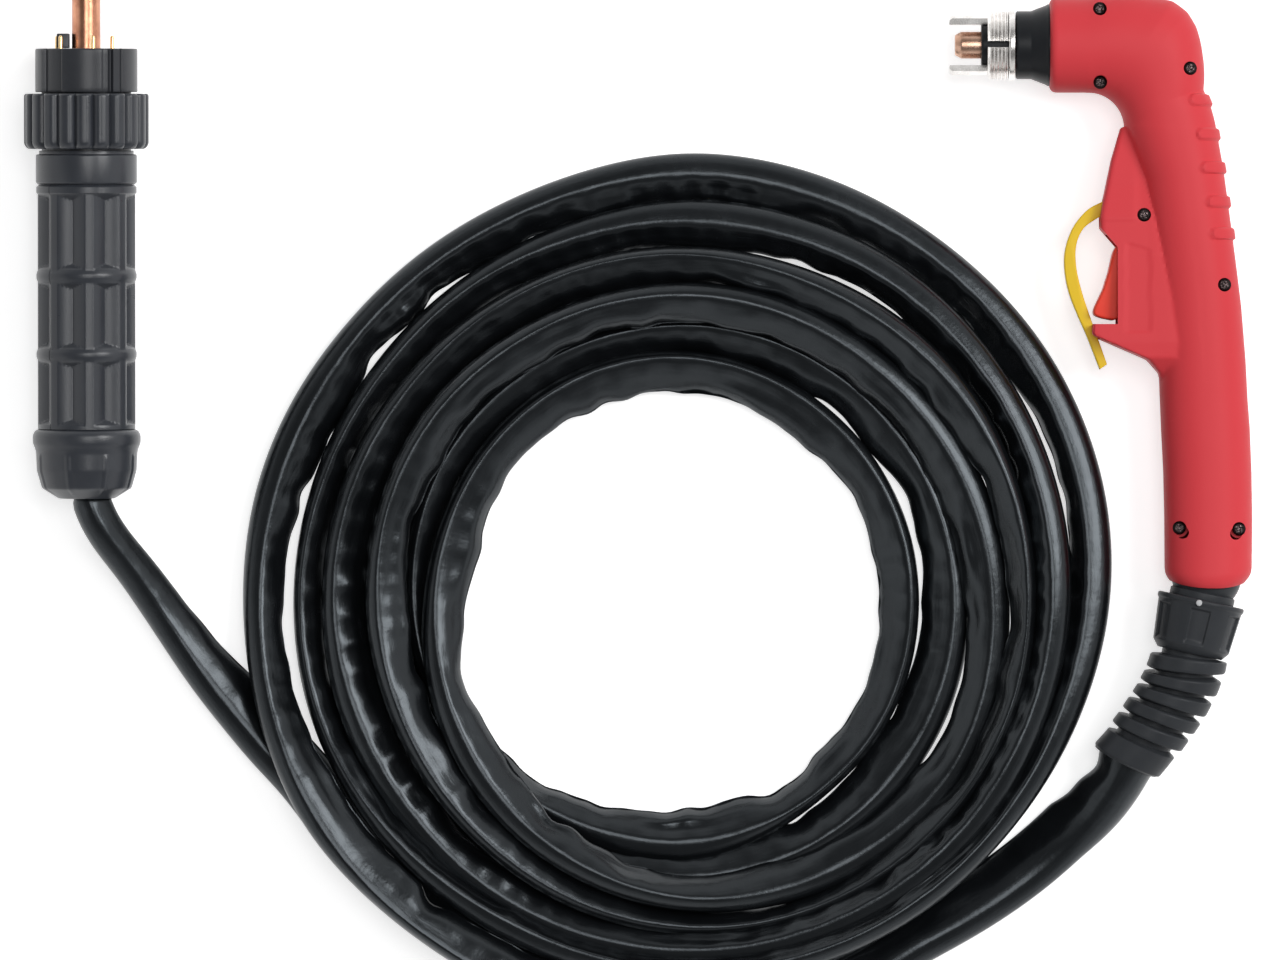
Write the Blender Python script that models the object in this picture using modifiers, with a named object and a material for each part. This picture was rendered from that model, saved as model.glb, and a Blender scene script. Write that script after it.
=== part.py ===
"""A hand torch with a ball-jointed cable and a central connector, lying on a flat surface.

Lengths are in millimetres and become metres as each mesh or curve is made. +Z is up. The torch
lies on its side: its head points to -X, its grip runs along +Y and its cable is coiled beside it.
Four frames carry the pieces: the handle's, at the centre of its ball joint; the gland's, at the
same point and turned to follow the cable; the connector's, tilted as it lies; and the row's own.
"""

import math

import bmesh
import bpy
import numpy as np
from mathutils import Vector

MM = 0.001
GAP = 0.3  # clear distance between two pieces that touch on the real object

# Handle: a round grip that bends into a head at right angles to it.
HEAD_RADIUS = 18.3
GRIP_HEIGHT = 16.4  # half the grip's thickness, seen from its side
WALL = 2.6
MID_HEIGHT = HEAD_RADIUS  # the handle lies on its head
HEAD_AXIS = 204.4  # the head's axis above the ball joint
HEAD_FRONT = -60.6  # the handle's front face
PIVOT = (40.8, -72.2)  # the ball joint on the row's plane
SPLIT = 0.15  # half the gap between the two shells

# Ball joint, gland nut and strain relief.
BALL_RADIUS = 13.4
GLAND_LEAN = math.radians(12.6)
NUT_TOP = 9.2
NUT_BOTTOM = 30.3
HOSE_RADIUS = 4.5
RIBS = 5
RIB_RADIUS = 15.0
RIB_WIDTH = 3.8
RIB_PITCH = 7.4
RELIEF_RADIUS = 11.6
COLLAR_RADIUS = 13.6
COLLAR_LENGTH = 7.4

# The strain relief's middle line on the row's plane, from the nut to where the cable comes out.
RELIEF_LINE = [
    (34.15, -102.4, 18.4), (33.2, -106.5, 18.2), (30.8, -112.9, 17.6), (27.2, -119.9, 17.0),
    (22.8, -126.7, 16.4), (18.5, -132.8, 15.8), (14.1, -138.5, 15.0), (9.8, -143.5, 14.2),
]

# Trigger, lever and micro-switch.
TRIGGER_HINGE = (-33.4, 124.6)
LEVER_HINGE = (-38.5, 140.9)
LEVER_HALF_WIDTH = 4.0
TRIGGER_HALF_WIDTH = 8.6
HOUSING_HALF_WIDTH = 13.0
PIN_RADIUS = 1.0
PIN_HALF_LENGTH = 10.0
SWITCH_FACE = -27.4  # the switch's front, which the trigger moves towards
PLUNGER_RADIUS = 1.1
PLUNGER_HEIGHT = 109.0  # along the grip from the ball joint, as for the spring
SPRING_HEIGHT = 103.8
SPRING_RADIUS = 1.5
SPRING_WIRE = 0.28
SPRING_LENGTH = 4.0
SPRING_COILS = 3
SPRING_STEPS = 8

# Cable: one hose in a loose sleeve, coiled and laid on the surface.
CABLE_DIAMETER = 12.6
CABLE_REST = CABLE_DIAMETER / 2 + 0.1
COIL_CENTRE = (-159.2, -81.2)
COIL_OUTER = 164.0
COIL_PITCH = 13.63
COIL_LEAN = 3.1  # the turns hang this far towards the torch's cable end
COIL_LOOSE = 9.2  # the first turn bulges this far past the others
TURN_REVERSES = 5.83  # turns after which the cable spirals out again, under the others
OUT_PITCH = 62.0  # outward drift of that lowest turn
OUT_EASE = 0.12  # turns over which the drift sets in
TURNS = 7.1
POINTS_PER_TURN = 24
LIFT = CABLE_DIAMETER + 1.8  # rise of a turn that crosses the lowest one
LIFT_REACH = 2.5 * LIFT

# Routes of the cable's two free ends, by hand. The first runs from the strain relief to the
# coil, the second from the coil to the connector.
HANDLE_ROUTE = [
    (-2.6, -165.4, CABLE_REST + 2.6), (-20.9, -183.3, CABLE_REST), (-37.1, -195.6, CABLE_REST),
    (-53.5, -205.9, CABLE_REST), (-73.0, -216.6, CABLE_REST), (-98.0, -231.0, CABLE_REST),
]
CONNECTOR_ROUTE = [
    (-313.0, -148.3, CABLE_REST), (-328.3, -131.4, CABLE_REST), (-345.0, -110.3, CABLE_REST),
    (-359.6, -88.4, CABLE_REST + 1.4), (-371.6, -70.4, 12.6), (-382.4, -56.4, 18.0),
]

# Connector, measured along its axis from the middle of the end cap's rim.
CONNECTOR_FOOT = (-390.2, -20.4)
RIM_RADIUS = 20.8
NUT_RADIUS = 24.0
RIM_REST = 0.1  # the rim's clearance from the surface that it lies on
CAP_END = 21.8  # the end cap's face, behind its rim
NUT_REST = 115.6  # where the nut touches the surface
NUT_MIDDLE = 123.2
NUT_LOBES = 20
CONNECTOR_TILT = math.asin((NUT_RADIUS - RIM_RADIUS) / NUT_REST)
SEAM_TURN = math.radians(44)

PARTS = "hand_torch"
CUTTERS = "cutters"


# Scene, materials and placing.

def start_scene():
    """Empties the scene and makes the two collections."""
    for item in list(bpy.data.objects):
        bpy.data.objects.remove(item, do_unlink=True)
    for name in (PARTS, CUTTERS):
        group = bpy.data.collections.new(name)
        bpy.context.scene.collection.children.link(group)


def material(name, colour, roughness, metallic=0.0):
    """A plain Principled material, or the one of that name."""
    found = bpy.data.materials.get(name)
    if found:
        return found
    made = bpy.data.materials.new(name)
    made.use_nodes = True
    shader = made.node_tree.nodes["Principled BSDF"]
    shader.inputs["Base Color"].default_value = (*colour, 1.0)
    shader.inputs["Roughness"].default_value = roughness
    shader.inputs["Metallic"].default_value = metallic
    return made


FINISHES = {
    "red": ((0.68, 0.06, 0.07), 0.42),
    "orange": ((0.80, 0.07, 0.04), 0.40),
    "yellow": ((0.90, 0.60, 0.03), 0.38),
    "black": ((0.035, 0.037, 0.042), 0.45),
    "dark": ((0.055, 0.060, 0.068), 0.50),
    "sleeve": ((0.012, 0.013, 0.015), 0.55),
    "copper": ((0.75, 0.33, 0.18), 0.28, 1.0),
    "nickel": ((0.62, 0.58, 0.54), 0.30, 1.0),
    "brass": ((0.72, 0.52, 0.22), 0.32, 1.0),
    "steel": ((0.45, 0.46, 0.48), 0.35, 1.0),
    "rubber": ((0.02, 0.02, 0.02), 0.70),
}


def finish(item, name, parent=None, at=(0, 0, 0), turn=(0, 0, 0), group=PARTS):
    """Gives an object its material, collection, parent and place, the place in millimetres."""
    if item.type in ("MESH", "CURVE") and not item.data.materials:
        item.data.materials.append(material(name, *FINISHES[name]))
    for old in list(item.users_collection):
        old.objects.unlink(item)
    bpy.data.collections[group].objects.link(item)
    item.parent = parent
    item.location = Vector(at) * MM
    item.rotation_euler = turn
    if group == CUTTERS:
        item.hide_render = True
        item.display_type = "WIRE"
    return item


def frame_empty(name, at, turn=(0, 0, 0)):
    """An empty that carries the pieces of one frame."""
    made = bpy.data.objects.new(name, None)
    bpy.data.collections[PARTS].objects.link(made)
    made.location = Vector(at) * MM
    made.rotation_euler = turn
    return made


# Shapes.

def mesh_object(name, build):
    """A mesh object from a function that fills a bmesh in millimetres."""
    mesh = bpy.data.meshes.new(name)
    form = bmesh.new()
    build(form)
    bmesh.ops.scale(form, vec=(MM, MM, MM), verts=form.verts)
    bmesh.ops.recalc_face_normals(form, faces=form.faces)
    form.to_mesh(mesh)
    form.free()
    made = bpy.data.objects.new(name, mesh)
    bpy.context.scene.collection.objects.link(made)
    return made


def box(name, low, high):
    """A box between two corners."""
    size = [b - a for a, b in zip(low, high)]
    middle = [(a + b) / 2 for a, b in zip(low, high)]

    def build(form):
        bmesh.ops.create_cube(form, size=1.0)
        bmesh.ops.scale(form, vec=size, verts=form.verts)
        bmesh.ops.translate(form, vec=middle, verts=form.verts)

    return mesh_object(name, build)


def add_rod(form, radius, bottom, top, at=(0, 0), sides=16):
    """Adds a cylinder along Z to a bmesh."""
    made = bmesh.ops.create_cone(
        form, cap_ends=True, segments=sides, radius1=radius, radius2=radius, depth=top - bottom)
    bmesh.ops.translate(form, vec=(*at, (bottom + top) / 2), verts=made["verts"])


def rods(name, radius, bottom, top, places=((0, 0),), sides=16):
    """One or more cylinders along Z, in one mesh."""
    def build(form):
        for place in places:
            add_rod(form, radius, bottom, top, place, sides)

    return mesh_object(name, build)


def turned(name, profile, steps=32, ring=False):
    """A profile of (radius, height) turned about Z; a ring's profile closes on itself."""
    around = sum(a[0] * b[1] - b[0] * a[1] for a, b in zip(profile, profile[1:] + profile[:1]))
    points = profile[::-1] if around > 0 else profile
    mesh = bpy.data.meshes.new(name)
    edges = [(i, i + 1) for i in range(len(points) - 1)]
    if ring:
        edges.append((len(points) - 1, 0))
    mesh.from_pydata([(r * MM, 0, h * MM) for r, h in points], edges, [])
    made = bpy.data.objects.new(name, mesh)
    bpy.context.scene.collection.objects.link(made)
    turn = made.modifiers.new("turn", "SCREW")
    turn.steps = steps
    turn.render_steps = steps
    turn.use_merge_vertices = True
    turn.merge_threshold = 0.00001
    return made


def arc(centre, radius, start, end, count):
    """Points of a circle from one angle to another, in degrees."""
    angles = np.radians(np.linspace(start, end, count))
    return [(centre[0] + radius * math.cos(a), centre[1] + radius * math.sin(a)) for a in angles]


def plate(name, outline, half_thickness, rounding=0.0, holes=()):
    """A flat outline, with any holes in it, given thickness along Z."""
    shape = bpy.data.curves.new(name, "CURVE")
    shape.dimensions = "2D"
    shape.fill_mode = "BOTH"
    shape.extrude = (half_thickness - rounding) * MM
    shape.bevel_depth = rounding * MM
    shape.offset = -rounding * MM
    shape.bevel_resolution = 0
    for points in (outline, *holes):
        spline = shape.splines.new("POLY")
        spline.points.add(len(points) - 1)
        for point, (x, y) in zip(spline.points, points):
            point.co = (x * MM, y * MM, 0, 1)
        spline.use_cyclic_u = True
    made = bpy.data.objects.new(name, shape)
    bpy.context.scene.collection.objects.link(made)
    return as_mesh(made)


def tube(name, points, radius, resolution=2, widths=None):
    """A round tube through points; widths scale its radius at each of them."""
    shape = bpy.data.curves.new(name, "CURVE")
    shape.dimensions = "3D"
    shape.bevel_depth = radius * MM
    shape.bevel_resolution = resolution
    shape.use_fill_caps = True
    spline = shape.splines.new("POLY")
    spline.points.add(len(points) - 1)
    for index, point in enumerate(spline.points):
        point.co = (*(Vector(points[index]) * MM), 1)
        point.radius = widths[index] if widths else 1.0
    made = bpy.data.objects.new(name, shape)
    bpy.context.scene.collection.objects.link(made)
    return made


def as_mesh(item):
    """The curve's solid as a mesh object of the same name, with its caps welded on."""
    graph = bpy.context.evaluated_depsgraph_get()
    mesh = bpy.data.meshes.new_from_object(item.evaluated_get(graph))
    form = bmesh.new()
    form.from_mesh(mesh)
    bmesh.ops.remove_doubles(form, verts=form.verts, dist=0.000001)
    bmesh.ops.recalc_face_normals(form, faces=form.faces)
    form.to_mesh(mesh)
    form.free()
    name = item.name
    place = item.matrix_world.copy()
    bpy.data.objects.remove(item, do_unlink=True)
    made = bpy.data.objects.new(name, mesh)
    made.matrix_world = place
    bpy.context.scene.collection.objects.link(made)
    return made


def boolean(item, other, operation="DIFFERENCE"):
    """Cuts, joins or keeps what is common with another object."""
    made = item.modifiers.new(other.name, "BOOLEAN")
    made.operation = operation
    made.object = other
    return made


def smooth_line(points, spacing):
    """Evenly spaced points of a smooth curve through the given ones."""
    points = np.array(points, float)
    ends = np.vstack([2 * points[0] - points[1], points, 2 * points[-1] - points[-2]])
    fine = []
    for before, start, end, after in zip(ends, ends[1:], ends[2:], ends[3:]):
        for t in np.linspace(0, 1, 24, endpoint=False):
            fine.append(0.5 * (2 * start + (end - before) * t
                               + (2 * before - 5 * start + 4 * end - after) * t ** 2
                               + (3 * start - before - 3 * end + after) * t ** 3))
    fine = np.array(fine + [points[-1]])
    along = np.concatenate([[0], np.cumsum(np.linalg.norm(np.diff(fine, axis=0), axis=1))])
    count = max(int(round(along[-1] / spacing)), 2)
    places = np.linspace(0, along[-1], count + 1)
    return np.stack([np.interp(places, along, fine[:, i]) for i in range(points.shape[1])], axis=1)


# Handle.

# Stations of the handle from the ball joint up the grip, round the bend and out to the front:
# (x, y, heading in degrees from +Y towards -X, half width, half height).
STATIONS = [
    (0.0, -4.6, 0, 13.6, 13.6),
    (0.2, -2.6, 0, 15.4, 15.2),
    (0.5, 1.9, 0, 16.8, 16.2),
    (0.6, 22.3, 0, 16.9, GRIP_HEIGHT),
    (0.3, 40.0, 1, 17.0, GRIP_HEIGHT),
    (-0.5, 57.8, 2, 17.0, GRIP_HEIGHT),
    (-1.7, 83.5, 4, 16.8, GRIP_HEIGHT),
    (-3.5, 108.2, 5, 16.6, GRIP_HEIGHT),
    (-6.0, 129.4, 7, 16.3, GRIP_HEIGHT),
    (-8.9, 152.5, 9, 16.2, GRIP_HEIGHT),
    (-13.6, 174.0, 17, 17.0, 16.8),
    (-17.3, 189.9, 38, 20.0, 17.6),
    (-19.2, 196.3, 47, 22.1, 18.0),
    (-22.2, 201.0, 58, 22.3, HEAD_RADIUS),
    (-34.2, 204.2, 84, 19.4, HEAD_RADIUS),
    (-45.0, HEAD_AXIS, 90, HEAD_RADIUS, HEAD_RADIUS),
    (-57.6, HEAD_AXIS, 90, HEAD_RADIUS, HEAD_RADIUS),
    (-59.6, HEAD_AXIS, 90, 16.9, 16.9),
    (HEAD_FRONT, HEAD_AXIS, 90, 14.0, 14.0),
]

# The housing of the trigger, which stands out from the grip below the head.
HOUSING = [
    (-32.8, 178.5), (-36.8, 160.2), (-40.3, 143.1), (-41.2, 138.4), (-41.0, 133.1),
    (-35.7, 127.4), (-34.7, 126.3), (-34.7, 97.0), (-36.5, 96.0), (-43.6, 98.1),
    (-44.5, 97.0), (-44.5, 93.2), (-43.9, 92.4), (-33.1, 88.0), (-22.7, 83.5),
    (-18.2, 78.2), (-15.4, 67.8), (-2.3, 67.8), (-6.2, 129.4), (-14.2, 176.3),
]

# Screws that close the handle: place, and height of the surface there above the middle.
SCREWS = [
    (-41.5, 218.1, 12.1), (-41.3, 189.9, 11.2), (-6.8, 195.2, 13.8), (-24.4, 139.0, 13.0),
    (6.4, 112.1, 12.4), (-10.9, 18.7, 11.8), (12.0, 18.3, 12.0),
]
SCREW_HEAD = 2.4
SCREW_SUNK = 1.6
SCREW_SHANK = 1.2


def section(station, inset, sides):
    """One superellipse of the handle, as points of a closed ring."""
    x, y, heading, width, height = station
    turn = math.radians(heading)
    side = np.array([math.cos(turn), math.sin(turn), 0])
    ring = []
    for step in range(sides):
        angle = 2 * math.pi * step / sides
        across = math.copysign(abs(math.cos(angle)) ** 0.92, math.cos(angle))
        up = math.copysign(abs(math.sin(angle)) ** 0.92, math.sin(angle))
        ring.append(np.array([x, y, 0]) + side * across * (width - inset)
                    + np.array([0, 0, up * (height - inset)]))
    return ring


def loft(name, stations, inset, sides):
    """A closed body through the sections of the given stations."""
    def build(form):
        rings = [[form.verts.new(p) for p in section(s, inset, sides)] for s in stations]
        for lower, upper in zip(rings, rings[1:]):
            for i in range(sides):
                j = (i + 1) % sides
                form.faces.new((lower[i], lower[j], upper[j], upper[i]))
        form.faces.new(rings[0][::-1])
        form.faces.new(rings[-1])

    return mesh_object(name, build)


def handle_cutters(frame):
    """The bodies that hollow and open the two shells, each in the handle's frame."""
    def keep(item, at=(0, 0, 0), turn=(0, 0, 0)):
        return finish(item, "red", frame, at, turn, CUTTERS)

    inside = keep(loft("cut_grip", STATIONS[3:17], WALL, 14))
    room = [(-31.5, 165.0), (-36.0, 147.5), (-37.6, 138.4), (-37.4, 133.6), (-31.9, 128.4),
            (-31.9, 99.4), (-38.0, 94.2), (-21.0, 86.6), (-13.0, 76.0), (-4.0, 76.0),
            (-7.5, 129.0), (-14.5, 165.0)]
    chamber = keep(plate("cut_chamber", room, HOUSING_HALF_WIDTH - WALL))
    posts = keep(rods("cut_posts", 3.5, -17.0, 17.0, [s[:2] for s in SCREWS], 8))
    boolean(inside, posts)
    boolean(chamber, posts)
    seat = [(0, BALL_RADIUS + GAP)] + arc((0, 0), BALL_RADIUS + GAP, 72, -72, 9)
    seat += [(0, -BALL_RADIUS - GAP)]
    seat = keep(turned("cut_seat", seat, 20), turn=(math.radians(-90), 0, 0))
    bore = keep(rods("cut_bore", 7.6, 2.0, 26.0, sides=12), turn=(math.radians(-90), 0, 0))
    mouth = [(0, 3.0), (16.2, 3.0), (16.2, -4.0), (0, -4.0)]
    mouth = keep(turned("cut_mouth", mouth, 24), (HEAD_FRONT, HEAD_AXIS, 0), (0, math.radians(-90), 0))
    window = keep(box("cut_window", (-48.0, 96.4, -TRIGGER_HALF_WIDTH - GAP),
                      (-31.0, 127.9, TRIGGER_HALF_WIDTH + GAP)))
    slot = keep(box("cut_slot", (-46.0, 134.6, -LEVER_HALF_WIDTH - 0.4),
                    (-33.6, 145.4, LEVER_HALF_WIDTH + 0.4)))
    groove = keep(box("cut_groove", (-47.0, 86.0, -LEVER_HALF_WIDTH - 0.4),
                      (-41.2, 99.6, LEVER_HALF_WIDTH + 0.4)))
    pins = keep(rods("cut_pins", PIN_RADIUS + GAP, -PIN_HALF_LENGTH - GAP, PIN_HALF_LENGTH + GAP,
                     (TRIGGER_HINGE, LEVER_HINGE), 12))
    screws = keep(rods("cut_shanks", SCREW_SHANK + GAP, -9.5, 20.0, [s[:2] for s in SCREWS], 8))
    return [inside, chamber, seat, bore, mouth, window, slot, groove, pins, screws]


def counterbores(frame):
    """The wide upper part of each screw's hole."""
    def build(form):
        for x, y, surface in SCREWS:
            add_rod(form, SCREW_HEAD + GAP, surface - SCREW_SUNK - 1.6 - GAP, 22.0, (x, y), 10)

    return finish(mesh_object("cut_counterbores", build), "red", frame, group=CUTTERS)


def build_shells(frame):
    """The two halves of the handle, split on its middle plane."""
    cutters = handle_cutters(frame)
    sunk = counterbores(frame)
    housing = plate("cut_housing", HOUSING, HOUSING_HALF_WIDTH, 1.6)
    finish(housing, "red", frame, group=CUTTERS)
    for name, low, high in (("handle_shell_upper", SPLIT, 30), ("handle_shell_lower", -30, -SPLIT)):
        shell = finish(loft(name, STATIONS, 0.0, 24), "red", frame)
        half = finish(box(f"cut_{name}", (-90, -20, low), (50, 240, high)), "red", frame, group=CUTTERS)
        boolean(shell, housing, "UNION")
        for cutter in cutters:
            boolean(shell, cutter)
        if low > 0:
            boolean(shell, sunk)
        boolean(shell, half, "INTERSECT")


def build_screws(frame):
    """Screws sunk in the upper shell, each reaching into the lower one."""
    for number, (x, y, surface) in enumerate(SCREWS, 1):
        top = surface - SCREW_SUNK
        profile = [(0, top - 0.8), (0.9, top - 0.8), (0.9, top), (SCREW_HEAD, top),
                   (SCREW_HEAD, top - 1.6), (SCREW_SHANK, top - 1.6), (SCREW_SHANK, -9.0), (0, -9.0)]
        finish(turned(f"handle_screw_{number}", profile, 10), "steel", frame, (x, y, 0))


# Trigger, lever and switch.

def about(points, hinge):
    """Points counted from a hinge."""
    return [(x - hinge[0], y - hinge[1]) for x, y in points]


def build_trigger(frame):
    """The trigger with its pin, the switch that it presses and the spring behind it."""
    outline = [(-34.9, 127.3), (-36.2, 124.8), (-38.0, 116.5), (-40.3, 110.1), (-43.4, 103.6),
               (-43.9, 101.5), (-43.3, 100.2), (-40.5, 99.4), (-36.0, 98.3), (-33.6, 99.8),
               (-32.4, 108.0), (-31.8, 118.0), (-31.4, 124.0), (-31.9, 126.2), (-33.2, 127.3)]
    eye = arc((0, 0), PIN_RADIUS + GAP, 0, 330, 12)
    trigger = plate("trigger", about(outline, TRIGGER_HINGE), TRIGGER_HALF_WIDTH, 0.7, (eye,))
    finish(trigger, "orange", frame, (*TRIGGER_HINGE, 0))
    pin = rods("trigger_pin", PIN_RADIUS, -PIN_HALF_LENGTH, PIN_HALF_LENGTH, sides=12)
    finish(pin, "steel", frame, (*TRIGGER_HINGE, 0))
    switch = box("micro_switch", (SWITCH_FACE, 101.5, -3.0), (SWITCH_FACE + 8.0, 121.0, 3.0))
    finish(switch, "dark", frame)
    aside = (0, math.radians(90), 0)
    bore = rods("cut_switch", PLUNGER_RADIUS + GAP, SWITCH_FACE - 1.0, SWITCH_FACE + 3.0, sides=12)
    boolean(switch, finish(bore, "dark", frame, (0, PLUNGER_HEIGHT, 0), aside, CUTTERS))
    plunger = rods("switch_plunger", PLUNGER_RADIUS, SWITCH_FACE - 4.2, SWITCH_FACE + 0.6, sides=12)
    finish(plunger, "steel", frame, (0, PLUNGER_HEIGHT, 0), aside)
    helix = []
    for step in range(SPRING_COILS * SPRING_STEPS + 1):
        turn = 2 * math.pi * step / SPRING_STEPS
        reach = SPRING_LENGTH * step / (SPRING_COILS * SPRING_STEPS)
        helix.append((SWITCH_FACE - GAP - SPRING_WIRE - reach,
                      SPRING_HEIGHT + SPRING_RADIUS * math.cos(turn), SPRING_RADIUS * math.sin(turn)))
    finish(tube("trigger_spring", helix, SPRING_WIRE, 1), "steel", frame)
    wires = smooth_line([(-18.0, 103.6, 0), (-14.4, 98.0, 2.0), (-11.2, 84.0, 6.0),
                         (-9.6, 60.0, 7.0), (-8.6, 38.0, 7.5), (-3.0, 24.0, 9.0)], 7.0)
    finish(tube("switch_wires", [tuple(p) for p in wires], 1.2), "rubber", frame)


def build_lever(frame):
    """The curved safety lever over the trigger, with its pin and spring."""
    outline = [(-40.3, 143.4), (-45.6, 141.3), (-50.4, 136.0), (-53.3, 130.1), (-54.8, 123.6),
               (-54.6, 116.5), (-53.0, 108.9), (-49.8, 100.6), (-46.2, 92.4), (-41.6, 80.6),
               (-40.2, 79.2), (-38.6, 80.4), (-38.4, 82.7), (-41.8, 91.2), (-45.1, 100.4),
               (-48.6, 111.3), (-50.2, 120.1), (-49.8, 128.3), (-46.8, 134.2), (-42.6, 137.5)]
    knuckle = arc(LEVER_HINGE, 2.9, -110, 90, 9)
    eye = arc((0, 0), PIN_RADIUS + GAP, 0, 330, 12)
    lever = plate("safety_lever", about(outline + knuckle, LEVER_HINGE), LEVER_HALF_WIDTH, 0.7, (eye,))
    finish(lever, "yellow", frame, (*LEVER_HINGE, 0))
    pin = rods("lever_pin", PIN_RADIUS, -PIN_HALF_LENGTH, PIN_HALF_LENGTH, sides=12)
    finish(pin, "steel", frame, (*LEVER_HINGE, 0))


# Head of the torch, its axis along -X from the handle's front face.

def build_head(frame):
    """The contact rings, electrode and insulators, and the metal body behind them."""
    at = (HEAD_FRONT, HEAD_AXIS, 0)
    forward = (0, math.radians(-90), 0)

    def keep(item, name):
        return finish(item, name, frame, at, forward)

    neck = [(15.8, -3.6), (15.8, 0.8), (13.1, 7.1), (13.1, 12.9), (6.3, 12.9), (6.3, -3.6)]
    keep(turned("head_neck", neck, 28, ring=True), "black")
    core = [(8.5, 13.3), (8.5, 26.2), (5.6, 26.2), (5.6, 25.0), (3.4, 25.0), (3.4, 21.5), (2.0, 21.5),
            (2.0, 13.3)]
    keep(turned("head_insulator", core, 24, ring=True), "black")
    collar = [(13.8, 13.3), (13.8, 15.7), (8.9, 15.7), (8.9, 13.3)]
    keep(turned("head_collar", collar, 28, ring=True), "nickel")
    rod = [(0, 36.3), (4.0, 36.3), (5.2, 33.7), (5.2, 25.3), (3.1, 25.3), (3.1, 22.0), (0, 22.0)]
    keep(turned("electrode", rod, 20), "copper")
    thread = []
    for turn in range(5):
        foot = 16.3 + 1.45 * turn
        thread += [(13.1, foot), (13.8, foot + 0.5), (13.8, foot + 0.95)]
    thread = [(8.9, 16.0), (13.1, 16.0)] + thread[1:] + [(12.6, 23.7), (11.7, 23.7)]
    prong = [(11.7, 37.7), (10.9, 38.5), (8.9, 38.5)]
    for name, side in (("contact_ring_upper", 1), ("contact_ring_lower", -1)):
        ring = keep(turned(name, thread + prong, 20, ring=True), "nickel")
        half = box(f"cut_{name}", (-20, 1.1, 12), (20, 20, 40))
        finish(half, "nickel", frame, at, forward, CUTTERS)
        half.rotation_euler.rotate_axis("Z", 0 if side > 0 else math.pi)
        boolean(ring, half, "INTERSECT")
    for name, side in (("cut_prong_left", 1), ("cut_prong_right", -1)):
        low, high = sorted((side * 5.0, side * 20.0))
        cheek = finish(box(name, (low, -20, 23.9), (high, 20, 45)), "nickel", frame, at, forward, CUTTERS)
        for ring in ("contact_ring_upper", "contact_ring_lower"):
            boolean(bpy.data.objects[ring], cheek)
    body = [(6.0, 12.6), (6.0, -36.0), (3.0, -36.0), (3.0, 12.6)]
    keep(turned("head_body", body, 16, ring=True), "brass")


def build_hose(frame):
    """The hose from the head's metal body down the grip to the ball joint."""
    route = smooth_line([(-24.2, HEAD_AXIS, 0), (-21.2, 203.4, 0), (-16.8, 196.5, 0),
                         (-14.2, 181.0, 0), (-9.4, 156.0, 0), (-5.4, 129.0, 0), (-1.6, 104.0, 0),
                         (0.4, 76.0, 0), (0.6, 46.0, 0), (0.0, 14.4, 0)], 9.5)
    route[1][1] = HEAD_AXIS
    route[-2][0] = 0.0
    finish(tube("grip_hose", [tuple(p) for p in route], HOSE_RADIUS, 1), "rubber", frame)


# Gland, along its own axis from the ball's centre.

def build_gland(frame):
    """The ball that the handle turns on, and the nut that holds the cable to it."""
    down = (math.radians(90), 0, 0)
    ball = [(5.4, -12.2)] + arc((0, 0), BALL_RADIUS, -65.5, 44, 9) + [(9.2, 10.2), (9.2, 24.0), (5.4, 24.0)]
    finish(turned("ball_joint", ball, 20, ring=True), "black", frame, turn=down)
    nut = [(9.6, NUT_TOP + 2.4), (9.6, 24.4), (6.6, 24.4), (6.6, NUT_BOTTOM), (12.4, NUT_BOTTOM),
           (14.8, NUT_BOTTOM - 2.6), (16.3, NUT_TOP + 2.2), (16.9, NUT_TOP + 1.6), (16.6, NUT_TOP),
           (10.9, NUT_TOP)]
    finish(turned("gland_nut", nut, 24, ring=True), "black", frame, turn=down)


def relief_places():
    """Distances along the strain relief and its radius there: ribs, then the end collar."""
    places = [(0.0, 12.2), (0.9, RELIEF_RADIUS)]
    for rib in range(RIBS):
        start = 2.4 + rib * RIB_PITCH
        places += [(start, RELIEF_RADIUS), (start + 0.4, RIB_RADIUS),
                   (start + RIB_WIDTH, RIB_RADIUS), (start + RIB_WIDTH + 0.4, RELIEF_RADIUS)]
    return places


def build_relief():
    """The ribbed strain relief, one curved body that ends in a collar."""
    fine = smooth_line(RELIEF_LINE, 0.5)
    along = np.concatenate([[0], np.cumsum(np.linalg.norm(np.diff(fine, axis=0), axis=1))])
    places = relief_places()
    places += [(along[-1] - COLLAR_LENGTH - 0.6, RELIEF_RADIUS), (along[-1] - COLLAR_LENGTH, COLLAR_RADIUS),
               (along[-1] - 1.4, COLLAR_RADIUS), (along[-1], COLLAR_RADIUS - 2.4)]
    points = [tuple(np.interp(s, along, fine[:, i]) for i in range(3)) for s, _ in places]
    widths = [r / RIB_RADIUS for _, r in places]
    finish(tube("strain_relief", points, RIB_RADIUS, 4, widths), "black")


# Cable.

def coil_radius(turns):
    """Distance from the coil's centre, in spiral turns from the side where the cable arrives."""
    lean = COIL_LEAN * np.cos(2 * np.pi * turns)
    loose = COIL_LOOSE * np.cos(np.pi * np.clip((turns - 0.5) / 0.9, -0.5, 0.5)) ** 2
    inward = COIL_OUTER - COIL_PITCH * turns + lean + loose
    turning = COIL_OUTER - COIL_PITCH * TURN_REVERSES + COIL_LEAN * np.cos(2 * np.pi * TURN_REVERSES)
    after = np.maximum(turns - TURN_REVERSES, 0)
    outward = turning + OUT_PITCH * after ** 2 / (after + OUT_EASE)
    return np.where(turns < TURN_REVERSES, inward, outward)


def coil_points(turns):
    """Places on the row's plane for an array of turns counted clockwise from -Y."""
    radius = coil_radius(turns)
    angle = 2 * np.pi * turns
    x = COIL_CENTRE[0] - radius * np.sin(angle)
    y = COIL_CENTRE[1] - radius * np.cos(angle)
    return np.stack([x, y], axis=1)


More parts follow.
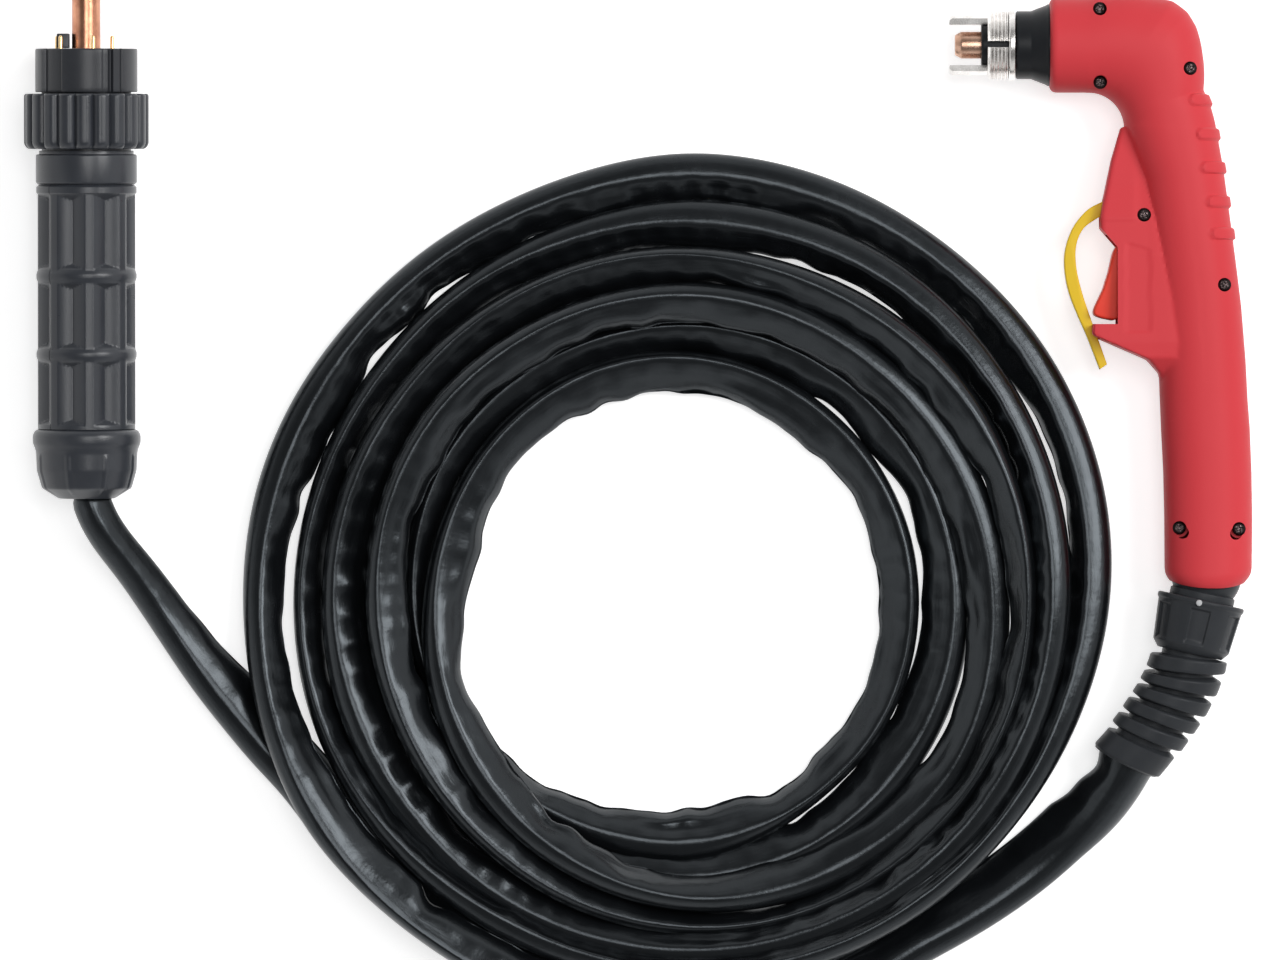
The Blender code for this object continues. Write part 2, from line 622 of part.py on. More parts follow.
def lowest_line():
    """The lowest strand on the plane: the last turn and the free end after it."""
    turn = coil_points(np.linspace(TURN_REVERSES + 0.07, TURNS, 220))
    free = smooth_line([tuple(turn[-1])] + [p[:2] for p in CONNECTOR_ROUTE], 4.0)
    return np.vstack([turn, free])


def lift_over(points, lowest):
    """How far a strand rises where it passes over the lowest one."""
    apart = np.linalg.norm(points[:, None, :2] - lowest[None], axis=2).min(axis=1)
    return LIFT * np.cos(np.pi / 2 * np.clip(apart / LIFT_REACH, 0, 1)) ** 2


def coil_line():
    """The coil's middle line, straight for one diameter at each end."""
    turns = np.linspace(0, TURNS, int(round(TURNS * POINTS_PER_TURN)) + 1)
    flat = coil_points(turns)
    lift = np.where(turns < TURN_REVERSES, lift_over(flat, lowest_line()), 0.0)
    line = np.column_stack([flat, CABLE_REST + lift])
    for end, inner, far in ((0, 1, 2), (-1, -2, -3)):
        along = line[inner] - line[far]
        line[end] = line[inner] + along / np.linalg.norm(along) * CABLE_DIAMETER
    return line


def least_gap(line):
    """Least clear distance of the tube to itself, away from its own neighbourhood."""
    steps = np.linalg.norm(np.diff(line, axis=0), axis=1)
    fine = np.vstack([np.linspace(a, b, 8, endpoint=False) for a, b in zip(line, line[1:])])
    along = np.repeat(np.concatenate([[0], np.cumsum(steps)[:-1]]), 8)
    far = np.abs(along[:, None] - along[None]) > 4 * CABLE_DIAMETER
    apart = np.linalg.norm(fine[:, None] - fine[None], axis=2)
    return apart[far].min() - CABLE_DIAMETER


def straight(face, toward):
    """The end of a strand that meets another face to face: the face's side and one diameter on."""
    along = (face - toward) / np.linalg.norm(face - toward)
    return [tuple(face + along * GAP), tuple(face + along * (GAP + CABLE_DIAMETER))]


def free_end(name, start, route, end, spacing=26.0):
    """One free stretch of the cable, straight at both ends and a smooth curve between them."""
    middle = smooth_line([start[1], *route, end[1]], spacing)
    middle[:, 2] = np.maximum(middle[:, 2], CABLE_REST)
    line = [start[0], *map(tuple, middle), end[0]]
    finish(tube(name, line, CABLE_DIAMETER / 2, 3), "sleeve")
    return np.array(line)


def build_cable():
    """The coil and the two free ends that meet it face to face."""
    coil = coil_line()
    finish(tube("cable_coil", [tuple(p) for p in coil], CABLE_DIAMETER / 2, 1), "sleeve")
    relief = np.array(RELIEF_LINE)
    first = free_end("cable_lead_handle", straight(relief[-1], relief[-2]), HANDLE_ROUTE,
                     straight(coil[0], coil[1]))
    axis = np.array([0.0, math.cos(CONNECTOR_TILT), math.sin(CONNECTOR_TILT)])
    cap = np.array([*CONNECTOR_FOOT, RIM_RADIUS + RIM_REST]) - axis * (CAP_END + GAP)
    mouth = [tuple(cap), tuple(cap - axis * 5.0)]
    last = free_end("cable_lead_connector", straight(coil[-1], coil[-2]), CONNECTOR_ROUTE, mouth)
    print(f"least gap of the coil to itself: {least_gap(coil):.2f} mm")
    for label, line in (("coil", coil), ("handle lead", first), ("connector lead", last)):
        print(f"{label}: {np.linalg.norm(np.diff(line, axis=0), axis=1).sum() / 1000:.2f} m")


# Connector, its axis along +Y of its own frame.

def lobes(outer, depth, count, per_lobe=3):
    """The outline of a nut with rounded grips all round."""
    points = []
    for step in range(count * per_lobe):
        angle = 2 * math.pi * step / (count * per_lobe)
        radius = outer - depth * (1 - abs(math.cos(count * angle / 2))) ** 1.5
        points.append((radius * math.cos(angle), radius * math.sin(angle)))
    return points


def build_barrel(keep, frame):
    """The two halves of the connector's barrel, split on a plane through its axis."""
    outer = [(19.3, 98.3), (19.3, 96.6), (18.6, 95.8), (18.6, 68.0), (19.1, 66.6), (19.1, 62.6),
             (18.4, 61.4), (18.4, 38.0), (18.9, 36.4), (18.9, 32.4), (18.1, 31.2), (18.1, 5.8)]
    inner = [(15.2, 5.8), (15.2, 98.3)]
    for name, low, high in (("barrel_shell_right", SPLIT, 25), ("barrel_shell_left", -25, -SPLIT)):
        shell = keep(turned(name, outer + inner, 24, ring=True), "dark")
        half = box(f"cut_{name}", (-25, low, 0), (25, high, 120))
        finish(half, "dark", frame, turn=(math.radians(-90), 0, 0), group=CUTTERS)
        half.rotation_euler.rotate_axis("Z", SEAM_TURN)
        boolean(shell, half, "INTERSECT")


def build_connector(frame):
    """The connector: plug, coupling nut, barrel, end cap and what they hold."""
    upward = (math.radians(-90), 0, 0)

    def keep(item, name, at=(0, 0, 0)):
        return finish(item, name, frame, at, upward)

    build_barrel(keep, frame)
    cap = [(15.0, 5.0), (18.4, 5.0)] + arc((17.0, 1.1), 3.8, 52, -52, 5)
    cap += [(19.5, -3.4), (19.3, -10.0)] + arc((11.4, -12.6), 8.2, -12, -66, 3)
    cap += [(10.6, -CAP_END), (5.4, -CAP_END), (5.4, -18.0), (15.0, -11.0)]
    keep(turned("end_cap", cap, 20, ring=True), "dark")
    seal = [(14.6, -4.0), (14.6, -10.2), (5.3, -14.6), (5.3, -4.0)]
    keep(turned("cable_seal", seal, 20, ring=True), "rubber")
    top = [(19.4, 110.4), (18.2, 112.0), (17.7, 112.0), (17.7, 99.0), (19.4, 99.0)]
    keep(turned("barrel_ring", top, 24, ring=True), "dark")
    body = [(19.7, 151.2), (19.7, 134.4), (17.2, 134.4), (17.2, 104.0), (14.8, 98.0), (14.8, 88.0),
            (6.0, 88.0), (6.0, 151.2)]
    plug = keep(turned("plug_body", body, 20, ring=True), "black")
    build_nut(frame)
    build_pins(frame, plug, keep)
    pipe = [(5.5, 184.4), (4.9, 185.2), (3.4, 185.2), (3.4, 60.0), (5.5, 60.0)]
    keep(turned("power_tube", pipe, 20, ring=True), "copper")
    ferrule = [(8.6, 86.0), (8.6, 58.0), (5.8, 58.0), (5.8, 86.0)]
    keep(turned("hose_ferrule", ferrule, 18, ring=True), "brass")
    hose = [(5.0, 57.6), (5.0, -20.0), (2.8, -20.0), (2.8, 57.6)]
    keep(turned("connector_hose", hose, 16, ring=True), "rubber")


def build_nut(frame):
    """The coupling nut, which turns freely between the plug's collar and the barrel ring."""
    outline = lobes(NUT_RADIUS, 0.9, NUT_LOBES)
    hole = arc((0, 0), 17.6, 0, 350, 36)
    nut = plate("coupling_nut", outline, 10.8, 1.8, (hole,))
    finish(nut, "dark", frame, (0, NUT_MIDDLE, 0), (math.radians(-90), 0, 0))


def build_pins(frame, plug, keep):
    """Control pins and the key that turns the plug the right way, set in the plug's face."""
    places = [(-11.4, 5.0), (-9.6, -5.2), (3.1, -11.6), (9.6, 8.2)]
    sockets = rods("cut_pins_plug", 0.8 + GAP, 147.0, 152.0, places, 10)
    finish(sockets, "black", frame, turn=(math.radians(-90), 0, 0), group=CUTTERS)
    boolean(plug, sockets)
    for number, (x, y) in enumerate(places, 1):
        pin = [(0, 156.2), (0.6, 156.2), (0.8, 155.6), (0.8, 147.4), (0, 147.4)]
        keep(turned(f"control_pin_{number}", pin, 8), "brass", (x, 0, -y))
    key = box("key_block", (-11.2, 151.5, -3.8), (-6.4, 157.1, 3.8))
    finish(key, "black", frame)


def main():
    start_scene()
    handle = frame_empty("handle_frame", (*PIVOT, MID_HEIGHT))
    gland = frame_empty("gland_frame", (*PIVOT, MID_HEIGHT), (0, 0, -GLAND_LEAN))
    connector = frame_empty("connector_frame", (*CONNECTOR_FOOT, RIM_RADIUS + RIM_REST),
                            (CONNECTOR_TILT, 0, 0))
    build_shells(handle)
    build_screws(handle)
    build_trigger(handle)
    build_lever(handle)
    build_head(handle)
    build_hose(handle)
    build_gland(gland)
    build_relief()
    build_cable()
    build_connector(connector)


main()
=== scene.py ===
import math

import bpy
import numpy as np
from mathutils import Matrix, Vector


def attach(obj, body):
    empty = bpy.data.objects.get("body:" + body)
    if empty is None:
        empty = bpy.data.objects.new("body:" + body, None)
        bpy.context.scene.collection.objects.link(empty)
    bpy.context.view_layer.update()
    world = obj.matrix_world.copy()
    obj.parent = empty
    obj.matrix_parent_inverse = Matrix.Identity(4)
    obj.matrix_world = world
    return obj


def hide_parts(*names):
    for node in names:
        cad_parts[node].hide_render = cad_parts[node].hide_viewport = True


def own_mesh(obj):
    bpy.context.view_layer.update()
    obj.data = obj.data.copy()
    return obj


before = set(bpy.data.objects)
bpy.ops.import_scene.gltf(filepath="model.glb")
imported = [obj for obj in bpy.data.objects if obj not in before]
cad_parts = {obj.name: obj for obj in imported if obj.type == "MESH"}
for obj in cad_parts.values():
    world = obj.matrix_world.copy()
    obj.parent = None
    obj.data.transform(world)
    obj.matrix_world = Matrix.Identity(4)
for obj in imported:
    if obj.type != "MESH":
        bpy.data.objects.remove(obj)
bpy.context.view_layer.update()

print("torch: frame loaded")

# Lengths in this script are millimetres in the row frame until a mesh is made.
mm = 0.001
px = 0.385  # one pixel of the 1280 x 960 frame on the table

view = {
    "centre": (-177.3, -35.1),  # the middle of the frame on the table
    "height": 5.0,  # metres above the table, a long lens that hardly converges
    "sensor": 36.0,
}
camData = bpy.data.cameras.new("camera")
camData.sensor_width = view["sensor"]
camData.lens = view["sensor"] * (view["height"] - 0.018) / (1280 * px * mm)
camData.clip_end = 50
camera = bpy.data.objects.new("camera", camData)
camera.location = (view["centre"][0] * mm, view["centre"][1] * mm, view["height"])
bpy.context.scene.collection.objects.link(camera)
bpy.context.scene.camera = camera


class Wire:
    # One socket of a material; arithmetic on it adds Math nodes, numbers stay numbers.
    def __init__(self, sheet, socket):
        self.sheet = sheet
        self.socket = socket

    def math(self, kind, other=None, third=None, swap=False):
        parts = [self] if other is None else [other, self] if swap else [self, other]
        if third is not None:
            parts.append(third)
        return self.sheet.node("ShaderNodeMath", {"operation": kind}, dict(enumerate(parts)))

    def __add__(self, other):
        return self.math("ADD", other)

    __radd__ = __add__

    def __mul__(self, other):
        return self.math("MULTIPLY", other)

    __rmul__ = __mul__

    def __sub__(self, other):
        return self.math("SUBTRACT", other)

    def __rsub__(self, other):
        return self.math("SUBTRACT", other, swap=True)

    def __truediv__(self, other):
        return self.math("DIVIDE", other)

    def __pow__(self, other):
        return self.math("POWER", other)

    def clamp(self):
        return self.math("MAXIMUM", 0.0).math("MINIMUM", 1.0)


class Sheet:
    # A material or a world being drawn: node() adds any node, the others those used most.
    def __init__(self, name, world=None, **fixed):
        self.made = world or bpy.data.materials.new(name)
        self.made.use_nodes = True
        self.tree = self.made.node_tree
        if world:
            return
        self.shader = self.tree.nodes["Principled BSDF"]
        for socket, value in fixed.items():
            self.shader.inputs[socket.replace("_", " ")].default_value = value

    def node(self, kind, settings=None, sockets=None, out=0):
        added = self.tree.nodes.new(kind)
        for key, value in (settings or {}).items():
            if key == "stops":
                while len(added.color_ramp.elements) < len(value):
                    added.color_ramp.elements.new(0.5)
                for stop, (place, colour) in zip(added.color_ramp.elements, value):
                    stop.position = place
                    stop.color = (*colour, 1)
            else:
                setattr(added, key, value)
        for key, value in (sockets or {}).items():
            if isinstance(value, Wire):
                self.tree.links.new(value.socket, added.inputs[key])
            else:
                added.inputs[key].default_value = value
        return Wire(self, added.outputs[out])

    def place(self, kind="Object"):
        return self.node("ShaderNodeTexCoord", out=kind)

    def scaled(self, where, scale, turn=(0, 0, 0)):
        return self.node("ShaderNodeMapping", None, {"Vector": where, "Scale": scale, "Rotation": turn})

    def noise(self, where, scale, detail=3.0, rough=0.5):
        return self.node("ShaderNodeTexNoise", None,
                         {"Vector": where, "Scale": scale, "Detail": detail, "Roughness": rough}, "Fac")

    def ramp(self, value, *stops):
        return self.node("ShaderNodeValToRGB", {"stops": stops}, {"Fac": value}, "Color")

    def span(self, value, low, high, newLow=0.0, newHigh=1.0):
        return self.node("ShaderNodeMapRange", {"interpolation_type": "SMOOTHSTEP"},
                         {"Value": value, "From Min": low, "From Max": high,
                          "To Min": newLow, "To Max": newHigh}, "Result")

    def mix(self, factor, first, second):
        first, second = [(*c, 1) if isinstance(c, tuple) else c for c in (first, second)]
        return self.node("ShaderNodeMix", {"data_type": "RGBA"}, {0: factor, 6: first, 7: second}, 2)

    def axis(self, where, letter):
        return self.node("ShaderNodeSeparateXYZ", None, {0: where}, letter)

    def bump(self, height, strength, distance):
        return self.node("ShaderNodeBump", None,
                         {"Height": height, "Strength": strength, "Distance": distance}, "Normal")

    def output(self, shader, name):
        self.tree.links.new(shader.socket, self.tree.nodes[name].inputs["Surface"])

    def feed(self, **links):
        for socket, value in links.items():
            self.tree.links.new(value.socket, self.shader.inputs[socket.replace("_", " ")])
        return self.made


def addPiece(name, points, faces, finish=None, body=None, slot=None, sharp=None, uv=None):
    # points in mm, faces as index lists; the object stays at the origin
    mesh = bpy.data.meshes.new(name)
    mesh.from_pydata(np.asarray(points, float) * mm, [], faces)
    mesh.validate()
    if uv is not None:
        corner = np.empty(len(mesh.loops), np.int64)
        mesh.loops.foreach_get("vertex_index", corner)
        layer = mesh.uv_layers.new(name="along")
        layer.data.foreach_set("uv", np.asarray(uv, np.float32)[corner].ravel())
    mesh.polygons.foreach_set("use_smooth", [True] * len(mesh.polygons))
    if sharp:
        mesh.set_sharp_from_angle(angle=math.radians(sharp))
    if finish:
        mesh.materials.append(finish)
    piece = bpy.data.objects.new(name, mesh)
    bpy.context.scene.collection.objects.link(piece)
    if body:
        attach(piece, body)
    return piece


def gridFaces(rows, columns):
    # quads between neighbouring rows of a grid whose columns close on themselves
    row, column = np.meshgrid(np.arange(rows - 1), np.arange(columns), indexing="ij")
    a = row * columns + column
    b = row * columns + (column + 1) % columns
    quads = np.stack([a, b, b + columns, a + columns], axis=-1)
    return quads.reshape(-1, 4).tolist()


def closedGrid(grid, firstPole, lastPole):
    # a grid's points and faces, its first and last row closed by triangles to a point each
    rows, columns = grid.shape[:2]
    points = np.vstack([grid.reshape(-1, 3), firstPole, lastPole])
    i = np.arange(columns)
    j = (i + 1) % columns
    last = (rows - 1) * columns
    low = np.stack([j, i, np.full(columns, rows * columns)], axis=1)
    high = np.stack([i + last, j + last, np.full(columns, rows * columns + 1)], axis=1)
    return points, gridFaces(rows, columns) + low.tolist() + high.tolist()


def unit(vectors):
    # each vector at length 1
    return vectors / np.linalg.norm(vectors, axis=-1)[..., None]


def along(points):
    # distance along a line of points, starting from 0
    return np.concatenate([[0], np.cumsum(np.linalg.norm(np.diff(points, axis=0), axis=1))])


def evenly(points, step):
    # the same line with its points a fixed distance apart
    run = along(points)
    places = np.linspace(0, run[-1], int(round(run[-1] / step)) + 1)
    return np.stack([np.interp(places, run, points[:, i]) for i in range(points.shape[1])], axis=1)


def spline(points, per=24):
    # a smooth curve through given points: each stretch is the cubic of its four neighbours
    points = np.asarray(points, float)
    ends = np.vstack([2 * points[0] - points[1], points, 2 * points[-1] - points[-2]])
    t = np.linspace(0, 1, per, endpoint=False)[None, :, None]
    a, b, c, d = (ends[i:len(ends) - 3 + i, None, :] for i in range(4))
    cubic = 0.5 * (2 * b + (c - a) * t + (2 * a - 5 * b + 4 * c - d) * t ** 2
                   + (3 * b - a - 3 * c + d) * t ** 3)
    return np.vstack([cubic.reshape(-1, points.shape[1]), points[-1:]])


def soften(values, width):
    # a moving average with rounded weights, the ends held
    reach = int(width * 2)
    weights = np.exp(-0.5 * (np.arange(-reach, reach + 1) / max(width, 1e-6)) ** 2)
    padded = np.concatenate([np.full(reach, values[0]), values, np.full(reach, values[-1])])
    return np.convolve(padded, weights / weights.sum(), "valid")


def smoothstep(value, low, high):
    # 0 up to low, 1 from high on, and 3t^2 - 2t^3 of the way t between them
    t = np.clip((value - low) / (high - low), 0, 1)
    return t * t * (3 - 2 * t)


def ripple(seed, places, spacing):
    # smooth random heights along a length: random values a spacing apart, joined by cosines
    rng = np.random.default_rng(seed)
    knots = rng.normal(size=int(places.max() / spacing) + 3)
    cell = places / spacing
    low = np.floor(cell).astype(int)
    share = 0.5 - 0.5 * np.cos(np.pi * (cell - low))
    return knots[low] * (1 - share) + knots[low + 1] * share


def cut(piece, cutters, kind="DIFFERENCE"):
    # one Boolean after another, each written into the mesh; the cutters go away
    for cutter in cutters:
        change = piece.modifiers.new("cut", "BOOLEAN")
        change.operation = kind
        change.solver = "MANIFOLD"
        change.object = cutter
        graph = bpy.context.evaluated_depsgraph_get()
        made = bpy.data.meshes.new_from_object(piece.evaluated_get(graph))
        piece.modifiers.remove(change)
        if len(made.polygons):
            piece.data = made
        else:
            print(f"torch: {cutter.name} did not cut {piece.name}")
    for cutter in cutters:
        bpy.data.objects.remove(cutter)
    return piece


def keep(piece, finish, body, slot, *nodes, sharp=34):
    # material, smooth shading with sharp edges kept, the body that it rides on and the solids it stands for
    mesh = piece.data
    mesh.materials.clear()
    mesh.materials.append(finish)
    mesh.polygons.foreach_set("material_index", np.zeros(len(mesh.polygons), np.int32))
    mesh.polygons.foreach_set("use_smooth", np.ones(len(mesh.polygons), bool))
    mesh.set_sharp_from_angle(angle=math.radians(sharp))
    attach(piece, body)
    if nodes:
        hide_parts(*nodes)
    return piece


def rounded(profile, radius, steps=4):
    # each corner of a polygon replaced by a short curve that starts and ends radius away from it
    p = np.asarray(profile, float)
    before, after = np.roll(p, 1, axis=0) - p, np.roll(p, -1, axis=0) - p
    lengthA, lengthB = np.linalg.norm(before, axis=1), np.linalg.norm(after, axis=1)
    r = np.minimum(np.broadcast_to(radius, len(p)), np.minimum(lengthA, lengthB) * 0.45)
    start, end = p + before * (r / lengthA)[:, None], p + after * (r / lengthB)[:, None]
    t = np.linspace(0, 1, steps + 1)[None, :, None]
    curve = (1 - t) ** 2 * start[:, None] + 2 * t * (1 - t) * p[:, None] + t * t * end[:, None]
    return curve.reshape(-1, 2)


def dense(profile, step):
    # points added along a profile's straight stretches, none further apart than a step
    p = np.asarray(profile, float)
    ends = np.roll(p, -1, axis=0)
    counts = np.maximum(np.ceil(np.linalg.norm(ends - p, axis=1) / step).astype(int), 1)
    share = np.concatenate([np.arange(n) / n for n in counts])[:, None]
    return np.repeat(p, counts, axis=0) * (1 - share) + np.repeat(ends, counts, axis=0) * share


def lidded(rows, count):
    # faces of a closed grid whose two end rows are each closed by one flat face
    last = (rows - 1) * count
    return gridFaces(rows, count) + [list(range(count))[::-1], [i + last for i in range(count)]]


def turned(p):
    # twice the area that an outline goes round, above 0 when it goes round to the left
    return (p[:, 0] * np.roll(p[:, 1], -1) - np.roll(p[:, 0], -1) * p[:, 1]).sum()


def turning(name, profile, frameOf, columns=96, sweep=None, shape=None):
    # A profile of (radius, height) carried round an axis: a ring's section is closed. With a sweep of two
    # angles in degrees only that part of the ring is made, and its two ends are flat. A shape gives the
    # radius anew from radius, height and degrees round from the top.
    p = np.asarray(profile, float)
    p = p if turned(p) > 0 else p[::-1]
    origin, axis, side, up = frameOf
    low, high = sweep if sweep else (0, 360)
    angles = np.radians(np.linspace(low, high, columns, endpoint=sweep is not None))
    spoke = np.cos(angles)[:, None] * side + np.sin(angles)[:, None] * up
    radius, level = np.broadcast_to(p[:, 0], (columns, len(p))), np.broadcast_to(p[:, 1], (columns, len(p)))
    if shape:
        fromTop = (90 - np.degrees(angles) + 180) % 360 - 180
        radius = shape(radius, level, np.broadcast_to(fromTop[:, None], radius.shape))
    grid = origin + spoke[:, None] * radius[..., None] + axis * level[..., None]
    count = len(p)
    if sweep:
        faces = lidded(columns, count)
    else:
        last, first = np.arange(count) + (columns - 1) * count, np.arange(count)
        nextOf = np.roll(first, -1)
        faces = gridFaces(columns, count)
        faces += np.stack([last, last[nextOf], first[nextOf], first], axis=1).tolist()
    # the sweep turns from side to up; with height along side x up the faces look outwards
    if np.dot(np.cross(side, up), axis) > 0:
        faces = [f[::-1] for f in faces]
    return addPiece(name, grid.reshape(-1, 3), faces)


def slab(name, outline, low, high, rounding, frameOf):
    # A flat outline given thickness: levels of the outline drawn in by rounding * (1 - cos), then lids.
    p = np.asarray(outline, float)
    p = p[::-1] if turned(p) < 0 else p
    edge = np.roll(p, -1, axis=0) - p
    edge /= np.linalg.norm(edge, axis=1)[:, None] + 1e-9
    normal = np.stack([edge[:, 1], -edge[:, 0]], axis=1)
    normal = normal + np.roll(normal, 1, axis=0)
    normal /= np.linalg.norm(normal, axis=1)[:, None] + 1e-9
    a = np.linspace(0, np.pi / 2, 5) if rounding > 0 else np.zeros(1)
    inset = np.concatenate([rounding * (1 - np.sin(a)), rounding * (1 - np.sin(a))[::-1]])
    level = np.concatenate([low + rounding * (1 - np.cos(a)), high - rounding * (1 - np.cos(a))[::-1]])
    origin, across, onward, up = frameOf
    grid = np.array([p - normal * i for i in inset])
    points = origin + grid[..., :1] * across + grid[..., 1:] * onward + level[:, None, None] * up
    faces = lidded(len(level), len(p))
    if np.dot(np.cross(across, onward), up) < 0:
        faces = [f[::-1] for f in faces]
    return addPiece(name, points.reshape(-1, 3), faces)


across, forth, upward = np.eye(3)  # the row frame's own directions
# Frames that pieces are made in: an origin in mm and three directions, as turning() or slab() takes them.
pivot = np.array([40.8, -72.2, 18.3])  # the ball joint; the handle's own places count from it
handleFrame = (pivot, across, forth, upward)
# the connector's foot, then its axis and its up, tilted on its nut and cap
foot = np.array([-390.2, -20.4, 20.9])
axisUp = np.array([0.0, 0.999617, 0.027682])
acrossUp = np.array([0.0, -0.027682, 0.999617])
plugFrame = (foot, axisUp, across, acrossUp)


def circle(radius, count, centre=(0, 0)):
    # a circle as an outline
    a = np.linspace(0, 2 * np.pi, count, endpoint=False)
    return np.stack([centre[0] + radius * np.cos(a), centre[1] + radius * np.sin(a)], axis=1)


studio = {
    "floorSize": 14.0,
    # lamps, in metres: side, radiance, place
    "overhead": (2.4, 4.6, (0.35, 0.65, 6.0)),
    "right": (2.6, 8.4, (3.5, 1.5, 4.6)),
    "left": (2.0, 0.4, (-4.5, -1.5, 3.0)),
    "ambient": 0.24,
    "paperLift": 0.62,
    "ceiling": (0.3, 0.8, 0.2),  # mirrors see white up to this height, and this grey above the second
}


def seenRays(sheet):
    # 1 for rays from the camera, and 1 for those and for rays by way of a mirror or glass
    rays = [sheet.node("ShaderNodeLightPath", out=kind)
            for kind in ("Is Camera Ray", "Is Glossy Ray", "Is Transmission Ray")]
    return rays[0], (rays[0] + rays[1] + rays[2]).clamp()


def makeFloor():
    # flat white paper under everything: white to the camera and to mirrors, with the object's soft shadow
    half = studio["floorSize"] * 500
    corners = [(-half, -half, -0.1), (half, -half, -0.1), (half, half, -0.1), (-half, half, -0.1)]
    sheet = Sheet("paper", Roughness=0.9, Specular_IOR_Level=0.1)
    grain = sheet.noise(sheet.place(), 40.0, 4.0)
    sheet.feed(Base_Color=sheet.ramp(grain, (0.3, (0.90, 0.90, 0.90)), (0.7, (0.92, 0.92, 0.92))))
    seen = seenRays(sheet)[1]
    plain = Wire(sheet, sheet.shader.outputs[0])
    lift = sheet.node("ShaderNodeEmission", None, {"Strength": studio["paperLift"]})
    lit = sheet.node("ShaderNodeAddShader", None, {0: plain, 1: lift})
    sheet.output(sheet.node("ShaderNodeMixShader", None, {0: seen, 1: plain, 2: lit}), "Material Output")
    addPiece("floor", corners, [[0, 1, 2, 3]], sheet.made)


def makeWorld():
    # plain grey light on the object; white where the camera or a mirror looks past the floor, and for
    # mirrors a greyer ceiling: 1 up to the first height of the direction, falling smoothly to the second
    world = bpy.data.worlds.new("studio")
    bpy.context.scene.world = world
    sheet = Sheet("studio", world)
    camera, seen = seenRays(sheet)
    low, high, grey = studio["ceiling"]
    bright = sheet.span(sheet.axis(sheet.place("Generated"), "Z"), low, high, 1.0, grey)
    dim, white = [sheet.node("ShaderNodeBackground", None, {"Color": (1, 1, 1, 1), "Strength": strength})
                  for strength in (studio["ambient"], bright.math("MAXIMUM", camera))]
    sheet.output(sheet.node("ShaderNodeMixShader", None, {0: seen, 1: dim, 2: white}), "World Output")


def makeLight(name, side, radiance, place, toward=(-0.177, -0.035, 0)):
    # a square lamp turned towards the object; its power gives the radiance asked for
    lamp = bpy.data.lights.new(name, "AREA")
    lamp.shape = "SQUARE"
    lamp.size = side
    lamp.energy = radiance * math.pi * side * side
    item = bpy.data.objects.new(name, lamp)
    item.location = place
    item.rotation_euler = (Vector(toward) - Vector(place)).to_track_quat("-Z", "Y").to_euler()
    bpy.context.scene.collection.objects.link(item)


for lampName in ("overhead", "right", "left"):
    makeLight(lampName, *studio[lampName])
makeWorld()
makeFloor()
bpy.context.scene.view_settings.view_transform = "Standard"
print("torch: camera, lamps and paper")


